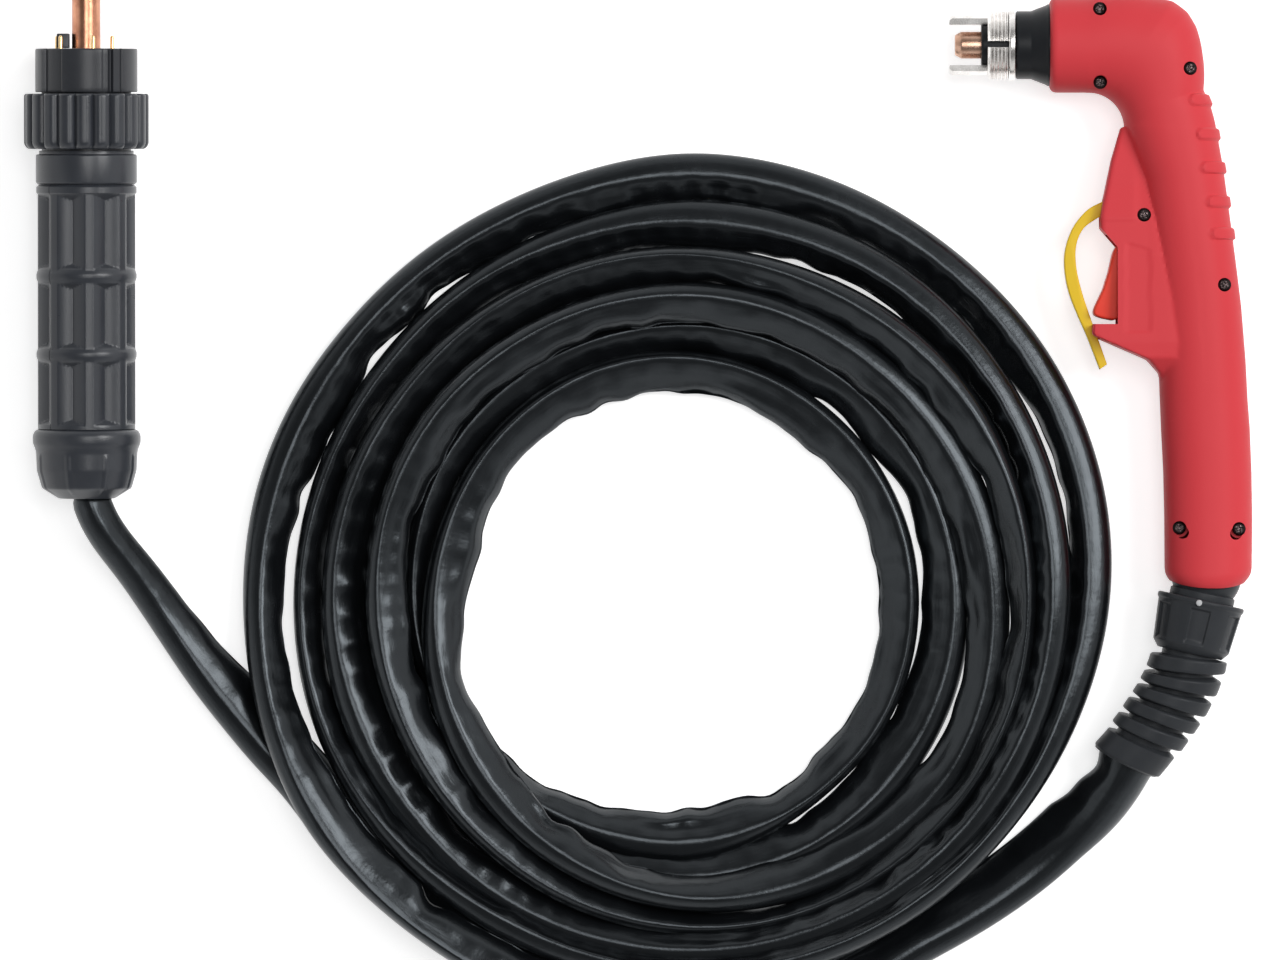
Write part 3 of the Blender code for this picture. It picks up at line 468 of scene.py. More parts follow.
# The cable follows the route of its solids: from the strain relief, round the coil inwards, back
# out underneath and into the connector.
cable = {
    "rest": 6.4,  # height of the hose's middle above the paper
    "centre": (-159.2, -81.2),
    "lift": 14.4, "liftReach": 36.0, "crossReach": 17.0,
    "fromRelief": [(12.3, -140.4, 14.7), (9.8, -143.5, 14.2), (-2.6, -165.4, 9.0),
                   (-20.9, -183.3, 6.4), (-37.1, -195.6, 6.4), (-53.5, -205.9, 6.4),
                   (-73.0, -216.6, 6.4), (-98.0, -231.0, 6.4)],
    "toConnector": [(-313.0, -148.3, 6.4), (-328.3, -131.4, 6.4), (-345.0, -110.3, 6.4),
                    (-359.6, -88.4, 7.8), (-371.6, -70.4, 12.6), (-382.4, -56.4, 18.0)],
    "step": 2.2, "around": 32,
    "round": 0.042,  # metres that the texture counts once round the sleeve
    "coilPoints": 1400,
    # where the section changes, in mm along the line: on from the relief, then back from the line's end
    "nearRelief": (6, 44), "nearCap": np.array([215, 96]), "inConnector": np.array([78, 71.8]),
    # its outer and inner width there
    "atRelief": (11.0, 11.1), "atCap": (7.4, 7.6), "atHose": 5.0,
    "flapLimit": 15.6,
    # the inner stretch that earlier turns cross over, the last turn that does, and where their lift ends
    "inner": (5.02, 5.24), "innerOver": (4.6, 4.75, 4.95),
    "tall": 6.1,  # height of the ridge over the hose's middle
    "lead": (7.4, 16.0),  # outer and inner width on the free ends
    "sag": 2.2, "freeSag": 3.6,
    "wave": 0.9, "edgeWave": 1.0,
    # how deep the puckers are: turn, mm
    "puckered": [(0, 0.2), (0.17, 0.3), (0.22, 1.3), (0.29, 0.9), (0.33, 2.0), (0.8, 1.7), (0.9, 0.6),
                 (1.15, 0.7), (1.25, 1.5), (1.45, 1.6), (1.8, 1.7), (1.95, 0.9), (2.12, 0.7),
                 (2.17, 1.5), (2.4, 1.4), (2.5, 0.7), (3.3, 0.5), (4.2, 0.4), (4.6, 0.9), (5.1, 0.9),
                 (5.3, 0.6), (6, 0.6), (8, 0.8)],
    # how the sleeve lies: turn from the bottom, then px of ridge radius, outer width, inner width
    "laid": [
        (0.00, 428, 16, 34), (0.05, 424, 13, 36), (0.09, 422, 9, 33), (0.13, 428, 9, 36),
        (0.165, 431, 15, 40), (0.19, 430, 15, 27), (0.25, 427, 18, 22), (0.29, 424.5, 22, 25),
        (0.32, 423, 21, 33), (0.36, 421, 18, 27), (0.43, 420, 18, 27), (0.46, 422, 19, 33),
        (0.50, 426, 23, 31), (0.55, 423, 23, 30), (0.60, 421, 20, 28), (0.645, 416, 24, 27),
        (0.68, 411, 26, 15), (0.715, 405, 27, 12), (0.75, 398, 26, 20), (0.80, 388, 21, 16),
        (0.85, 381, 16, 12), (0.90, 377, 15, 12), (0.95, 373, 15, 12), (1.00, 369, 17, 12),
        (1.05, 366.5, 20, 12), (1.09, 367, 20, 12), (1.15, 378, 13, 15), (1.20, 386, 10, 22),
        (1.25, 387, 8, 25), (1.30, 382.5, 11, 21), (1.35, 379, 13, 23), (1.40, 381, 12, 28),
        (1.45, 378, 18, 27), (1.50, 377, 25, 27), (1.535, 375.5, 25, 20), (1.57, 375, 25, 16),
        (1.60, 374, 24, 22), (1.65, 372, 20, 21), (1.70, 368, 20, 22), (1.75, 364, 21, 21),
        (1.80, 361, 18, 21), (1.85, 357, 22, 21), (1.90, 353.6, 22, 21), (1.95, 350.5, 21, 21),
        (2.00, 349.5, 20, 24), (2.10, 350, 15, 30), (2.15, 347, 20, 30), (2.20, 350, 18, 33),
        (2.25, 354, 12, 35), (2.30, 353, 13, 34), (2.35, 349, 12, 28), (2.40, 349, 9, 31),
        (2.45, 347, 9, 31), (2.50, 345, 9, 30), (2.55, 339, 13, 26), (2.60, 338, 16, 27),
        (2.65, 341, 14, 27), (2.70, 342, 9, 25), (2.75, 340, 9, 21), (2.80, 341, 9, 16),
        (2.85, 338, 9, 14), (2.90, 335, 10, 14), (2.95, 332, 10, 14), (3.00, 327, 10, 18),
        (3.05, 321, 10, 24), (3.10, 314, 10, 27), (3.15, 309, 11, 29), (3.20, 308, 12, 30),
        (3.25, 309, 13, 30), (3.30, 313, 10, 30), (3.35, 312, 13, 27), (3.40, 308, 12, 27),
        (3.45, 306, 12, 27), (3.50, 304, 14, 28), (3.55, 301, 16, 27), (3.60, 298, 17, 26),
        (3.65, 298, 20, 26), (3.70, 301, 20, 28), (3.75, 305, 18, 28), (3.785, 309, 18, 23),
        (3.84, 315, 18, 24), (3.86, 314, 19, 30), (3.90, 308, 22, 30), (3.95, 304, 16, 28),
        (4.00, 298, 14, 20), (4.05, 287, 16, 20), (4.10, 276, 18, 24), (4.15, 264, 20, 24),
        (4.20, 256, 18, 22), (4.25, 252, 12, 31), (4.30, 249, 10, 35), (4.36, 248, 10, 30),
        (4.45, 246, 9, 34), (4.50, 242, 8, 33), (4.55, 236, 8, 33), (4.60, 230, 9, 34),
        (4.65, 226.5, 9, 31), (4.70, 225, 9, 30), (4.75, 224, 9, 31), (4.80, 226, 9, 28),
        (4.85, 230, 8, 28), (4.90, 232, 8, 25), (4.95, 238, 13, 32), (5.00, 243, 24, 31),
        (5.05, 246, 22, 27), (5.10, 252, 16, 18), (5.15, 260, 12, 20), (5.20, 270, 10, 20),
        (5.25, 274, 10, 22), (5.30, 278, 10, 28), (5.35, 280.5, 8, 32), (5.40, 278, 9, 31),
        (5.45, 275, 10, 30), (5.50, 274, 11, 29), (5.57, 270.5, 12, 29), (5.60, 269, 12, 31),
        (5.65, 267, 12, 29), (5.72, 267, 14, 26), (5.76, 268, 16, 33), (5.80, 269, 17, 36),
        (5.86, 271, 17, 36), (5.885, 272.5, 16, 29), (5.93, 275, 15, 28), (5.955, 276, 14, 34),
        (6.00, 277, 12, 35), (6.05, 283, 12, 34), (6.10, 290, 12, 28), (6.15, 296, 12, 20),
        (6.25, 300, 12, 20), (6.40, 304, 12, 20), (6.50, 315, 12, 20), (6.70, 346, 12, 20),
        (6.90, 378, 12, 20), (7.10, 410, 14, 22)],
    "turns": 7.1, "under": 5.97,  # from here on the cable runs out below the other turns
}


def laid(turns, column):
    # one column of the table at any turn, in mm, its corners rounded off
    table = np.array(cable["laid"])
    fine = np.arange(table[0, 0], table[-1, 0], 0.002)
    return np.interp(turns, fine, soften(np.interp(fine, table[:, 0], table[:, column]), 7)) * px


def coilPlan(turns):
    # the coil seen from above, its radius from the table
    radius, angle = laid(turns, 1), 2 * np.pi * turns
    return np.stack([cable["centre"][0] - radius * np.sin(angle),
                     cable["centre"][1] - radius * np.cos(angle)], axis=1)


def liftOver(flat, lower, reach):
    # how far the cable rises where it passes within reach of a lower stretch: lift * cos^2
    apart = np.linalg.norm(flat[:, None] - lower[None], axis=2).min(axis=1)
    return cable["lift"] * np.cos(np.pi / 2 * np.clip(apart / reach, 0, 1)) ** 2


def cableLine():
    # the hose's middle line in even steps, and for each point its turn (below 0 and above all turns: free)
    turns = np.linspace(0, cable["turns"], cable["coilPoints"])
    flat = coilPlan(turns)
    outgoing = coilPlan(np.linspace(cable["under"], cable["turns"], 260))
    free = spline([outgoing[-1]] + [p[:2] for p in cable["toConnector"]])
    lift = liftOver(flat, np.vstack([outgoing, free]), cable["liftReach"])
    crossed = liftOver(flat, coilPlan(np.linspace(*cable["inner"], 60)), cable["crossReach"])
    until, fall, flatAgain = cable["innerOver"]
    lift = np.where(turns < until, np.maximum(lift, crossed), lift)
    lift = lift * (1 - smoothstep(turns, fall, flatAgain)) * (turns < cable["under"])
    coil = np.column_stack([flat, cable["rest"] + soften(lift, 5)])
    mouth = [foot - axisUp * 30.0 + across * 4.2, foot - axisUp * 22.0 + across * 1.3]
    arrive = spline(cable["fromRelief"] + [coil[0], coil[30]], 60)
    arrive = arrive[along(arrive) < along(arrive)[-1] - np.linalg.norm(coil[30] - coil[0])]
    leave = spline([coil[-30], coil[-1]] + cable["toConnector"] + mouth, 60)[60:]
    inside = np.linspace(foot - axisUp * 21.0, foot + axisUp * 57.0, 30)
    line = np.vstack([arrive, coil[1:-1], leave, inside])
    marks = np.concatenate([np.linspace(-1, 0, len(arrive)), turns[1:-1],
                            np.linspace(cable["turns"], cable["turns"] + 1, len(leave)), np.full(30, 99.0)])
    run = along(line)
    places = np.linspace(0, run[-1], int(round(run[-1] / cable["step"])) + 1)
    smooth = np.stack([soften(np.interp(places, run, line[:, i]), 3.0) for i in range(3)], axis=1)
    return smooth, np.interp(places, run, marks), run[-1]


def sleeveSection(columns):
    # the quarter that each column lies in, and how far it has gone through it
    counts = [8, 10, 8, columns - 26]
    quarter = np.repeat(np.arange(4), counts)
    share = np.concatenate([np.arange(n) / n for n in counts])
    return quarter, share


def makeSleeve(finish):
    # A pipe of cross-sections along the hose. Outwards each is a quarter circle about the hose. Inwards
    # the loose cloth runs down from the ridge as height * (1 - w^p)^(1/q) to a wavy edge, w the share of
    # its width, and comes back flat underneath. Folds are smooth random waves that grow towards the edge.
    line, mark, length = cableLine()
    rows, columns = len(line), cable["around"]
    forward = unit(np.gradient(line, axis=0))
    left = unit(np.stack([-forward[:, 1], forward[:, 0], np.zeros(rows)], axis=1))
    over = np.cross(forward, left)
    places = along(line)
    inConnector, nearCap = [smoothstep(places, *(places[-1] - cable[end]))
                            for end in ("inConnector", "nearCap")]
    nearRelief = 1 - smoothstep(places, *cable["nearRelief"])
    free = 1 - smoothstep(mark, -0.25, 0.06) + smoothstep(mark, 7.0, 7.2)

    def width(column, end):
        # from the table on the coil, from the lead's own width on the free ends, and fitted to both ends
        value = laid(mark, column) * (1 - free) + cable["lead"][end] * free
        value = value * (1 - nearCap) + cable["atCap"][end] * nearCap
        return value * (1 - nearRelief) + cable["atRelief"][end] * nearRelief

    def fitted(value):
        return value * (1 - inConnector) + cable["atHose"] * inConnector

    waves = ripple(3, places, 9.0) * 0.6 + ripple(4, places, 23.0) * 0.6
    edge = cable["edgeWave"] * waves * (1 - nearCap)
    flap = fitted(np.minimum(width(3, 1) + edge, cable["flapLimit"]))
    outerSide = fitted(width(2, 0))
    tall = cable["tall"] + 0.25 * ripple(6, places, 30.0) * (1 - nearCap)
    tall = fitted(tall + 4.3 * nearRelief + 0.7 * nearCap)
    sag = (cable["sag"] + (cable["freeSag"] - cable["sag"]) * free) * (1 - np.maximum(nearCap, nearRelief))
    quarter, share = sleeveSection(columns)
    turn = share * np.pi / 2
    w = np.where(quarter == 1, np.sin(turn), np.where(quarter == 2, np.cos(turn), 0))
    u = np.where(quarter == 0, np.cos(turn), np.where(quarter == 3, np.sin(turn), 0))
    u = u[None] * outerSide[:, None] - w[None] * flap[:, None]
    loose = (1 - inConnector)[:, None]
    power = 1.55 + 0.45 * inConnector[:, None]
    top = -sag[:, None] + (tall + sag)[:, None] * (1 - w[None] ** power) ** 0.72
    under = -sag[:, None] + (sag - tall)[:, None] * (1 - w[None] ** 4) ** 0.5
    v = np.where(quarter == 0, np.sin(turn), np.where(quarter == 3, -np.cos(turn), 0))[None] * tall[:, None]
    v = np.where((quarter == 1)[None], top, v)
    v = np.where((quarter == 2)[None], under, v)
    calm = loose * (1 - 0.7 * np.maximum(nearCap, nearRelief)[:, None])
    lanes = np.stack([ripple(20 + k, places, 17.0 + 3 * k) for k in range(4)], axis=1)
    reach = np.stack([np.interp(w, np.linspace(0, 1, 4), lane) for lane in np.eye(4)])
    folds = (lanes @ reach) * (smoothstep(w, 0.12, 0.75) * (quarter == 1))[None]
    # puckers drawn in by the closing seam: |sin| arches across the flap, uneven in width and depth
    beat = np.cumsum(np.gradient(places) * (0.27 + 0.05 * ripple(31, places, 45.0)))
    uneven = 1 + 0.45 * np.clip(ripple(33, places, 35.0), -1.5, 1.5)
    depth = np.interp(mark, *np.array(cable["puckered"]).T) * uneven
    arches = (np.abs(np.sin(beat)) ** 0.7 * depth)[:, None]
    arches = arches * (smoothstep(w, 0.06, 0.4) * (quarter == 1))[None]
    v = v + (cable["wave"] * folds - arches) * calm
    v = v + 0.3 * np.exp(-((u - 0.4) / 1.2) ** 2) * (quarter < 2)[None] * loose
    height = line[:, 2][:, None] + v * over[:, 2][:, None]
    v = np.where(height < 0.25, (0.25 - line[:, 2][:, None]) / over[:, 2][:, None], v)
    grid = line[:, None] + left[:, None] * u[..., None] + over[:, None] * v[..., None]
    turnLength = np.concatenate([[0], np.cumsum(np.full(columns - 1, 1.0 / columns))])
    uv = np.stack([np.repeat(places * mm, columns), np.tile(turnLength * cable["round"], rows)], axis=1)
    sleeve = addPiece("cable_sleeve", *closedGrid(grid, line[:1], line[-1:]), finish, "cable", "sleeve",
                      uv=np.vstack([uv, uv[:2]]))
    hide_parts("cable_coil", "cable_lead_handle", "cable_lead_connector", "connector_hose")
    return sleeve, line, length


def vinyl():
    # black sleeve of soft vinyl: fine creases along it, dusty patches and a dull sheen
    sheet = Sheet("sleeveVinyl", Specular_IOR_Level=0.5, Specular_Tint=(0.84, 0.93, 1.0, 1))
    uv = sheet.node("ShaderNodeUVMap", {"uv_map": "along"})
    where = sheet.place()
    creases = sheet.noise(sheet.scaled(uv, (60, 700, 1)), 1.0, 4.0, 0.6)
    crumple = sheet.noise(sheet.scaled(uv, (160, 160, 1)), 1.0, 3.0, 0.55)
    dust = sheet.noise(where, 26.0, 4.0, 0.6)
    fine = sheet.noise(where, 900.0, 2.0)
    dark = sheet.ramp(dust, (0.35, (0.0032, 0.0037, 0.0044)), (0.65, (0.0056, 0.0063, 0.0074)))
    scuffs = sheet.span(sheet.noise(sheet.scaled(uv, (25, 260, 1)), 1.0, 5.0, 0.7), 0.60, 0.74)
    colour = sheet.mix(scuffs * 0.35, dark, (0.015, 0.0165, 0.019))
    rough = 0.25 + 0.12 * (dust - 0.5) + 0.10 * (crumple - 0.5) + 0.06 * scuffs
    bump = sheet.bump(creases * 0.5 + crumple + fine * 0.15, 0.30, 0.0005)
    return sheet.feed(Base_Color=colour, Roughness=rough, Normal=bump)


sleeve, cableMiddle, cableLength = makeSleeve(vinyl())
print(f"torch: sleeve of {cableLength / 1000:.2f} m")


handle = {
    "wall": 2.4,
    "gripHeight": 16.4, "headRadius": 18.3, "headAxis": 204.5, "headFront": -60.6,
    "bend": (-46.0, 173.0),  # the point that the bend's sections turn about
    # how far from it a section begins and ends, at 0 and at 90 degrees
    "bendInner": (14.2, 13.1), "bendOuter": (49.6, 49.8),
    "bottom": -5.6, "noseRound": 2.4,
    "across": 76,  # points round half a section
    "roundness": 2.12,
    # the back edge and the front edge of the grip, then the housing's front edge: (x, y)
    "back": [(15.2, -3.4), (17.0, 0.6), (17.4, 3.5), (17.6, 22.3), (17.3, 40), (16.6, 57.8), (15.8, 67.8),
             (15.0, 83.5), (13.3, 104.3), (11.5, 119), (9.2, 136.7), (6.5, 156.7), (3.6, 173.0)],
    "front": [(-14.0, -3.4), (-15.8, 0.6), (-16.2, 3.5), (-16.3, 22.3), (-16.7, 40), (-17.6, 57.8),
              (-18.0, 67.8), (-18.6, 83.5), (-20.2, 108.2), (-22.2, 129.4), (-25.0, 152.5),
              (-31.8, 173.0)],
    "housing": [(-17.4, 72.0), (-18.6, 78.2), (-22.9, 83.4), (-33.1, 87.8), (-43.4, 92.3), (-44.4, 93.4),
                (-43.6, 104.0), (-42.0, 120.0), (-41.1, 133.1), (-41.2, 138.4), (-40.3, 143.1),
                (-36.8, 160.2), (-33.4, 172.0), (-32.0, 176.0)],
    "plate": [(70, 0), (84, 13.6), (90, 14.2), (108, 13.3), (125, 11.8), (138, 10.4), (150, 8.0),
              (160, 6.6), (173, 4.6)],
    "corner": 1.6,
    # the bend's outer edge: how far from its turning point at each angle
    "outer": [(-1.2, 187.2), (-1.4, 200.2), (-3.9, 211.4), (-7.4, 217.2), (-13.1, 221.4),
              (-20, 222.7)],
    # the thumb ribs, in pixels of the frame as the pivot's place is: across, down, width
    "pivotPixel": (1206, 576),
    "ribs": [(1199.3, 100.4, 26), (1206.2, 134.4, 25), (1211.1, 167.8, 26), (1216.6, 201.8, 26),
             (1220.8, 233.8, 26)],
    "ribRise": 1.1, "ribHalf": 2.4, "ribEdge": (1.75, 2.55),
    "panel": (-31.4, -22.2, 94.0, 125.6),  # a shallow field beside the trigger
    # the screws: place and height of the surface round each
    "screws": [(-41.5, 218.1, 12.1), (-41.3, 189.9, 11.2), (-6.8, 195.2, 13.8), (-24.4, 139.0, 10.6),
               (6.4, 112.1, 12.4), (-10.9, 18.7, 12.1), (12.0, 18.3, 12.2)],
    "screwHole": 2.65,
    # the two lowest holes slope: where their lower circle lies beside the screw
    "sloped": {5: (1.2, -1.8), 6: (-1.3, -1.8)},
    # openings in the housing: name, half width, outline
    "openings": [
        ("window", 25, [(-50, 97.0), (-34.6, 97.0), (-34.6, 126.6), (-41.4, 134.4), (-50, 134.4)]),
        ("well", 8.9, [(-48, 96.8), (-31.0, 96.8), (-31.0, 127.9), (-48, 127.9)]),
        ("slot", 4.4, [(-46, 134.6), (-33.6, 134.6), (-33.6, 145.4), (-46, 145.4)]),
        ("groove", 4.4, [(-47, 86.0), (-41.2, 86.0), (-41.2, 99.6), (-47, 99.6)])],
    # hollows turned for the ball and its way out below, and for the head's neck: (radius, height)
    "seat": [(0.0, -13.6), (9.0, -11.4), (13.7, -2.0), (13.7, 2.0), (11.0, 9.0), (0.0, 13.7)],
    "mouth": [(0.0, -9.0), (14.8, -9.0), (14.3, -1.6), (0.0, -1.6)],
    "nose": [(0.0, -2.0), (15.95, -2.0), (15.95, 4.0), (0.0, 4.0)],
}
headFrame = (pivot + (handle["headFront"], handle["headAxis"], 0), -across, forth, upward)


def track(name, places):
    # one edge of the handle, read at any height
    line = np.array(handle[name], float)
    return np.interp(places, line[:, 1], line[:, 0])


def halfSection(start, end, tall, plate, inset, count):
    # Half of one cross-section as points (place across, rise): a superellipse between start and end,
    # joined by a soft maximum to a plate that begins at its own front edge with a rounded corner.
    start, end, tall = start + inset, end - inset, tall - inset
    fine = 420
    edge, level = plate if plate else (start, 0.0)
    edge, level = edge + inset, level - inset
    left = min(start, edge) if level > 0.3 else start
    x = left + (end - left) * (1 - np.cos(np.pi * np.linspace(0, 1, fine))) / 2
    middle, half = (start + end) / 2, (end - start) / 2
    n = handle["roundness"]
    tube = tall * np.clip(1 - np.abs((x - middle) / half) ** n, 0, 1) ** (1 / n)
    if level > 0.3:
        r = min(handle["corner"], level)
        into = np.clip(x - edge, 0, r)
        flat = np.where((x >= edge) & (x < middle),
                        level - r + np.sqrt(np.maximum(r * r - (r - into) ** 2, 0)), 0)
        blend = 1.3
        z = (0.5 * (tube + flat + np.sqrt((tube - flat) ** 2 + blend ** 2))
             - 0.5 * blend * np.exp(-np.abs(tube - flat)))
        z = np.where(x < start, flat, z)
        z = np.maximum(z, np.maximum(tube, flat))
    else:
        z = tube
    z[-1] = 0
    line = np.vstack([[(left, 0.0)], np.stack([x, z], axis=1)]) if z[0] > 0.05 else np.stack([x, z], axis=1)
    run = along(line)
    places = np.linspace(0, run[-1], count)
    return np.interp(places, run, line[:, 0]), np.interp(places, run, line[:, 1])


def riseOfRibs(x, y, inset):
    # the thumb ribs stand up along the back edge, each a bar with a round inner end
    rise = np.zeros_like(x)
    pivotX, pivotY = handle["pivotPixel"]
    for cx, cy, wide in handle["ribs"]:
        rx, ry = (cx - pivotX) * px, (pivotY - cy) * px
        inner = rx - wide * px / 2 + handle["ribHalf"]
        past = np.maximum(inner - x, 0)
        apart = np.sqrt((y - ry) ** 2 + past ** 2)
        rise += 1 - smoothstep(apart, *handle["ribEdge"])
    return handle["ribRise"] * rise * (inset == 0)


def handleBody(name, inset, count, spacing):
    # Closed rings of points: level sections up the grip, then sections that fan round the bend, then
    # upright ones out to the head's front. Each is a half section and its mirror image below.
    rings = []
    bottom = handle["bottom"] + inset
    dome = np.array([0.0, 0.35, 0.8, 1.6, 2.6, 3.8, 5.2, 6.8]) * (1 if inset == 0 else 0.8)
    levels = np.concatenate([bottom + dome, np.arange(bottom + dome[-1] + spacing, 173, spacing)])
    fx, fy = handle["bend"]
    for y in levels:
        start, end = track("front", y), track("back", y)
        tall = handle["gripHeight"] + 0.3 * smoothstep(y, 150, 173)
        low = np.clip((y - bottom) / 7.0, 0, 1)
        shrink = (1 - (1 - low) ** 2.4) ** (1 / 2.4) if low < 1 else 1.0
        middle, half = (start + end) / 2, (end - start) / 2
        start, end, tall = middle - half * shrink, middle + half * shrink, tall * shrink
        if shrink < 0.02:
            start, end, tall = middle - 0.3, middle + 0.3, 0.3
        plateLine = np.array(handle["plate"])
        level = np.interp(y, plateLine[:, 0], plateLine[:, 1])
        plate = (track("housing", y), level) if y > 71 else None
        small = inset if low > 0.3 else 0
        x, z = halfSection(start, end, tall, plate, small, count)
        if inset == 0:
            west, east, south, north = handle["panel"]
            step = (smoothstep(x, west - 0.3, west + 0.3) * (1 - smoothstep(x, east - 0.3, east + 0.3))
                    * smoothstep(y, south - 0.3, south + 0.3)
                    * (1 - smoothstep(y + 0.30 * (x - east), north - 0.3, north + 0.3)))
            top = smoothstep(z, 5.0, 6.0)
            z = z - 0.4 * step * top
            ledge = 0.35 * smoothstep(y, 136.3, 137.1) * (1 - smoothstep(y, 138, 170))
            z = z + ledge * (1 - smoothstep(x, -29, -25.5)) * top
        # the lower edge bows down in the middle
        bow = 2.7 * (1 - np.clip(x / 16.2, -1, 1) ** 2) * (1 - smoothstep(y, -6, 7)) * (inset == 0)
        rings.append(np.stack([x, y - bow, z], axis=1))
    outer = np.array(handle["outer"], float) - (fx, fy)
    outerAngle = np.degrees(np.arctan2(outer[:, 1], outer[:, 0]))
    reach = np.hypot(outer[:, 0], outer[:, 1])
    (nearStart, nearEnd), (farStart, farEnd) = handle["bendInner"], handle["bendOuter"]
    for angle in np.arange(0, 90.01, 1.0 * spacing / 0.8):
        turn = math.radians(min(angle, 90))
        far = np.interp(angle, [0, *outerAngle, 90], [farStart, *reach, farEnd])
        near = nearStart + (nearEnd - nearStart) * angle / 90
        tall = 16.7 + 1.6 * smoothstep(angle, 5, 60)
        x, z = halfSection(near, far, tall, None, inset, count)
        rings.append(np.stack([fx + x * math.cos(turn), fy + x * math.sin(turn), z], axis=1))
    faceX, corner = handle["headFront"], handle["noseRound"]
    outward = np.concatenate([np.arange(fx - spacing, faceX + 2.6, -spacing),
                              faceX + np.array([2.4, 1.5, 0.8, 0.3, 0.0])])
    if inset:
        outward = np.arange(fx - spacing, faceX - 3, -spacing)
    for place in outward:
        back = max(corner - max(place - faceX, 0), 0)
        r = handle["headRadius"] - (corner - math.sqrt(max(corner ** 2 - back ** 2, 0)))
        r = r if inset == 0 else max(r, handle["headRadius"])
        axis = handle["headAxis"]
        x, z = halfSection(axis - r, axis + r, r, None, inset, count)
        rings.append(np.stack([np.full(count, place), x, z], axis=1))
    grid = np.array(rings)
    if inset == 0:
        grid = np.array([softenRings(grid[:, :, k]) for k in range(3)]).transpose(1, 2, 0)
        slope = np.gradient(grid, axis=1)
        down = np.gradient(grid, axis=0)
        normal = np.cross(down, slope)
        normal /= np.linalg.norm(normal, axis=2)[..., None] + 1e-9
        flip = np.where(normal[:, count // 2, 2] < 0, -1, 1)[:, None, None]
        grid = grid + normal * flip * riseOfRibs(grid[..., 0], grid[..., 1], inset)[..., None]
    grid[:, 0, 2] = 0
    grid[:, -1, 2] = 0
    mirrored = grid[:, -2:0:-1] * (1, 1, -1)
    whole = np.concatenate([grid, mirrored], axis=1)
    points, faces = closedGrid(whole, whole[0].mean(axis=0), whole[-1].mean(axis=0))
    return addPiece(name, points + pivot, faces)


def softenRings(values):
    # a light average of each ring with its neighbours
    out = values.copy()
    out[1:-1] = 0.5 * values[1:-1] + 0.25 * (values[2:] + values[:-2])
    return out


def redPlastic(name, lit, shade, rough):
    # moulded plastic with a fine spark-eroded grain, faint flow marks and rubbed places
    sheet = Sheet(name, Specular_IOR_Level=0.14)
    where = sheet.place()
    flow = sheet.noise(sheet.scaled(where, (1.0, 0.6, 1.0)), 14.0, 3.0, 0.5)
    grain = sheet.noise(where, 1500.0, 2.0, 0.6)
    patch = sheet.noise(where, 55.0, 5.0, 0.65)
    rub = sheet.span(sheet.noise(sheet.scaled(where, (1.0, 3.2, 1.0), turn=(0, 0, 0.3)), 95.0, 6.0, 0.75),
                     0.63, 0.74)
    colour = sheet.mix(flow, shade, lit)
    colour = sheet.mix((patch - 0.5) * 0.10 + 0.05, colour, tuple(c * 0.82 for c in lit))
    colour = sheet.mix(rub * 0.16, colour, tuple(min(c * 1.12 + 0.02, 1) for c in lit))
    roughness = rough + 0.10 * (patch - 0.5) - 0.07 * rub + 0.05 * (grain - 0.5)
    bump = sheet.bump(grain * 0.6 + patch * 0.25, 0.22, 0.00018)
    return sheet.feed(Base_Color=colour, Roughness=roughness, Normal=bump)


def makeShells():
    # outer body less its hollow and the openings
    body = handleBody("shellWork", 0, handle["across"], 0.55)
    hollow = handleBody("hollow", handle["wall"], 40, 2.4)
    posts = [slab(f"post{i}", circle(3.6, 20, place[:2]), -18, 18, 0, handleFrame)
             for i, place in enumerate(handle["screws"])]
    cut(hollow, posts)
    openings = [slab(name, outline, -half, half, 0, handleFrame)
                for name, half, outline in handle["openings"]]
    upright = (pivot, forth, upward, across)
    seat = turning("seat", rounded(handle["seat"], 2.0), upright, 48)
    mouth = turning("mouth", handle["mouth"], upright, 64)
    nose = turning("nose", handle["nose"], headFrame, 72)
    return cut(body, [hollow, *openings, seat, mouth, nose])


shells = makeShells()
print("torch: handle hollowed,", len(shells.data.polygons), "faces")


def capsule(radius, centre, step):
    # the outline of a circle drawn along a step
    turn = math.atan2(step[1], step[0])
    a = np.linspace(-np.pi / 2, np.pi / 2, 20)
    ends = [place + radius * np.stack([np.cos(turn + half + a), np.sin(turn + half + a)], axis=1)
            for place, half in ((np.add(centre, step), 0), (np.array(centre), np.pi))]
    return np.vstack(ends)


def splitShells(body):
    # the body split on its middle plane, and the sunk holes of the upper half
    red = redPlastic("handleRed", (0.79, 0.066, 0.080), (0.73, 0.056, 0.068), 0.48)
    for name, low, high in (("handle_half_upper", 0.12, 30), ("handle_half_lower", -30, -0.12)):
        half = bpy.data.objects.new(name, body.data.copy())
        bpy.context.scene.collection.objects.link(half)
        box = slab("side", [(-90, -20), (50, -20), (50, 240), (-90, 240)], low, high, 0, handleFrame)
        cut(half, [box], "INTERSECT")
        if low > 0:
            cut(half, [slab(f"hole{i}", circle(handle["screwHole"], 40, place[:2]), place[2] - 2.6, 24, 0,
                            handleFrame) for i, place in enumerate(handle["screws"])])
            cut(half, [slab(f"slope{i}", capsule(2.35, handle["screws"][i][:2], step),
                            handle["screws"][i][2] - 3.4, 24, 0, handleFrame)
                       for i, step in handle["sloped"].items()])
        keep(half, red, "handle", "red", name.replace("half", "shell"), sharp=35)
        print(f"torch: {name}, {len(half.data.polygons)} faces")
    bpy.data.objects.remove(body)


splitShells(shells)


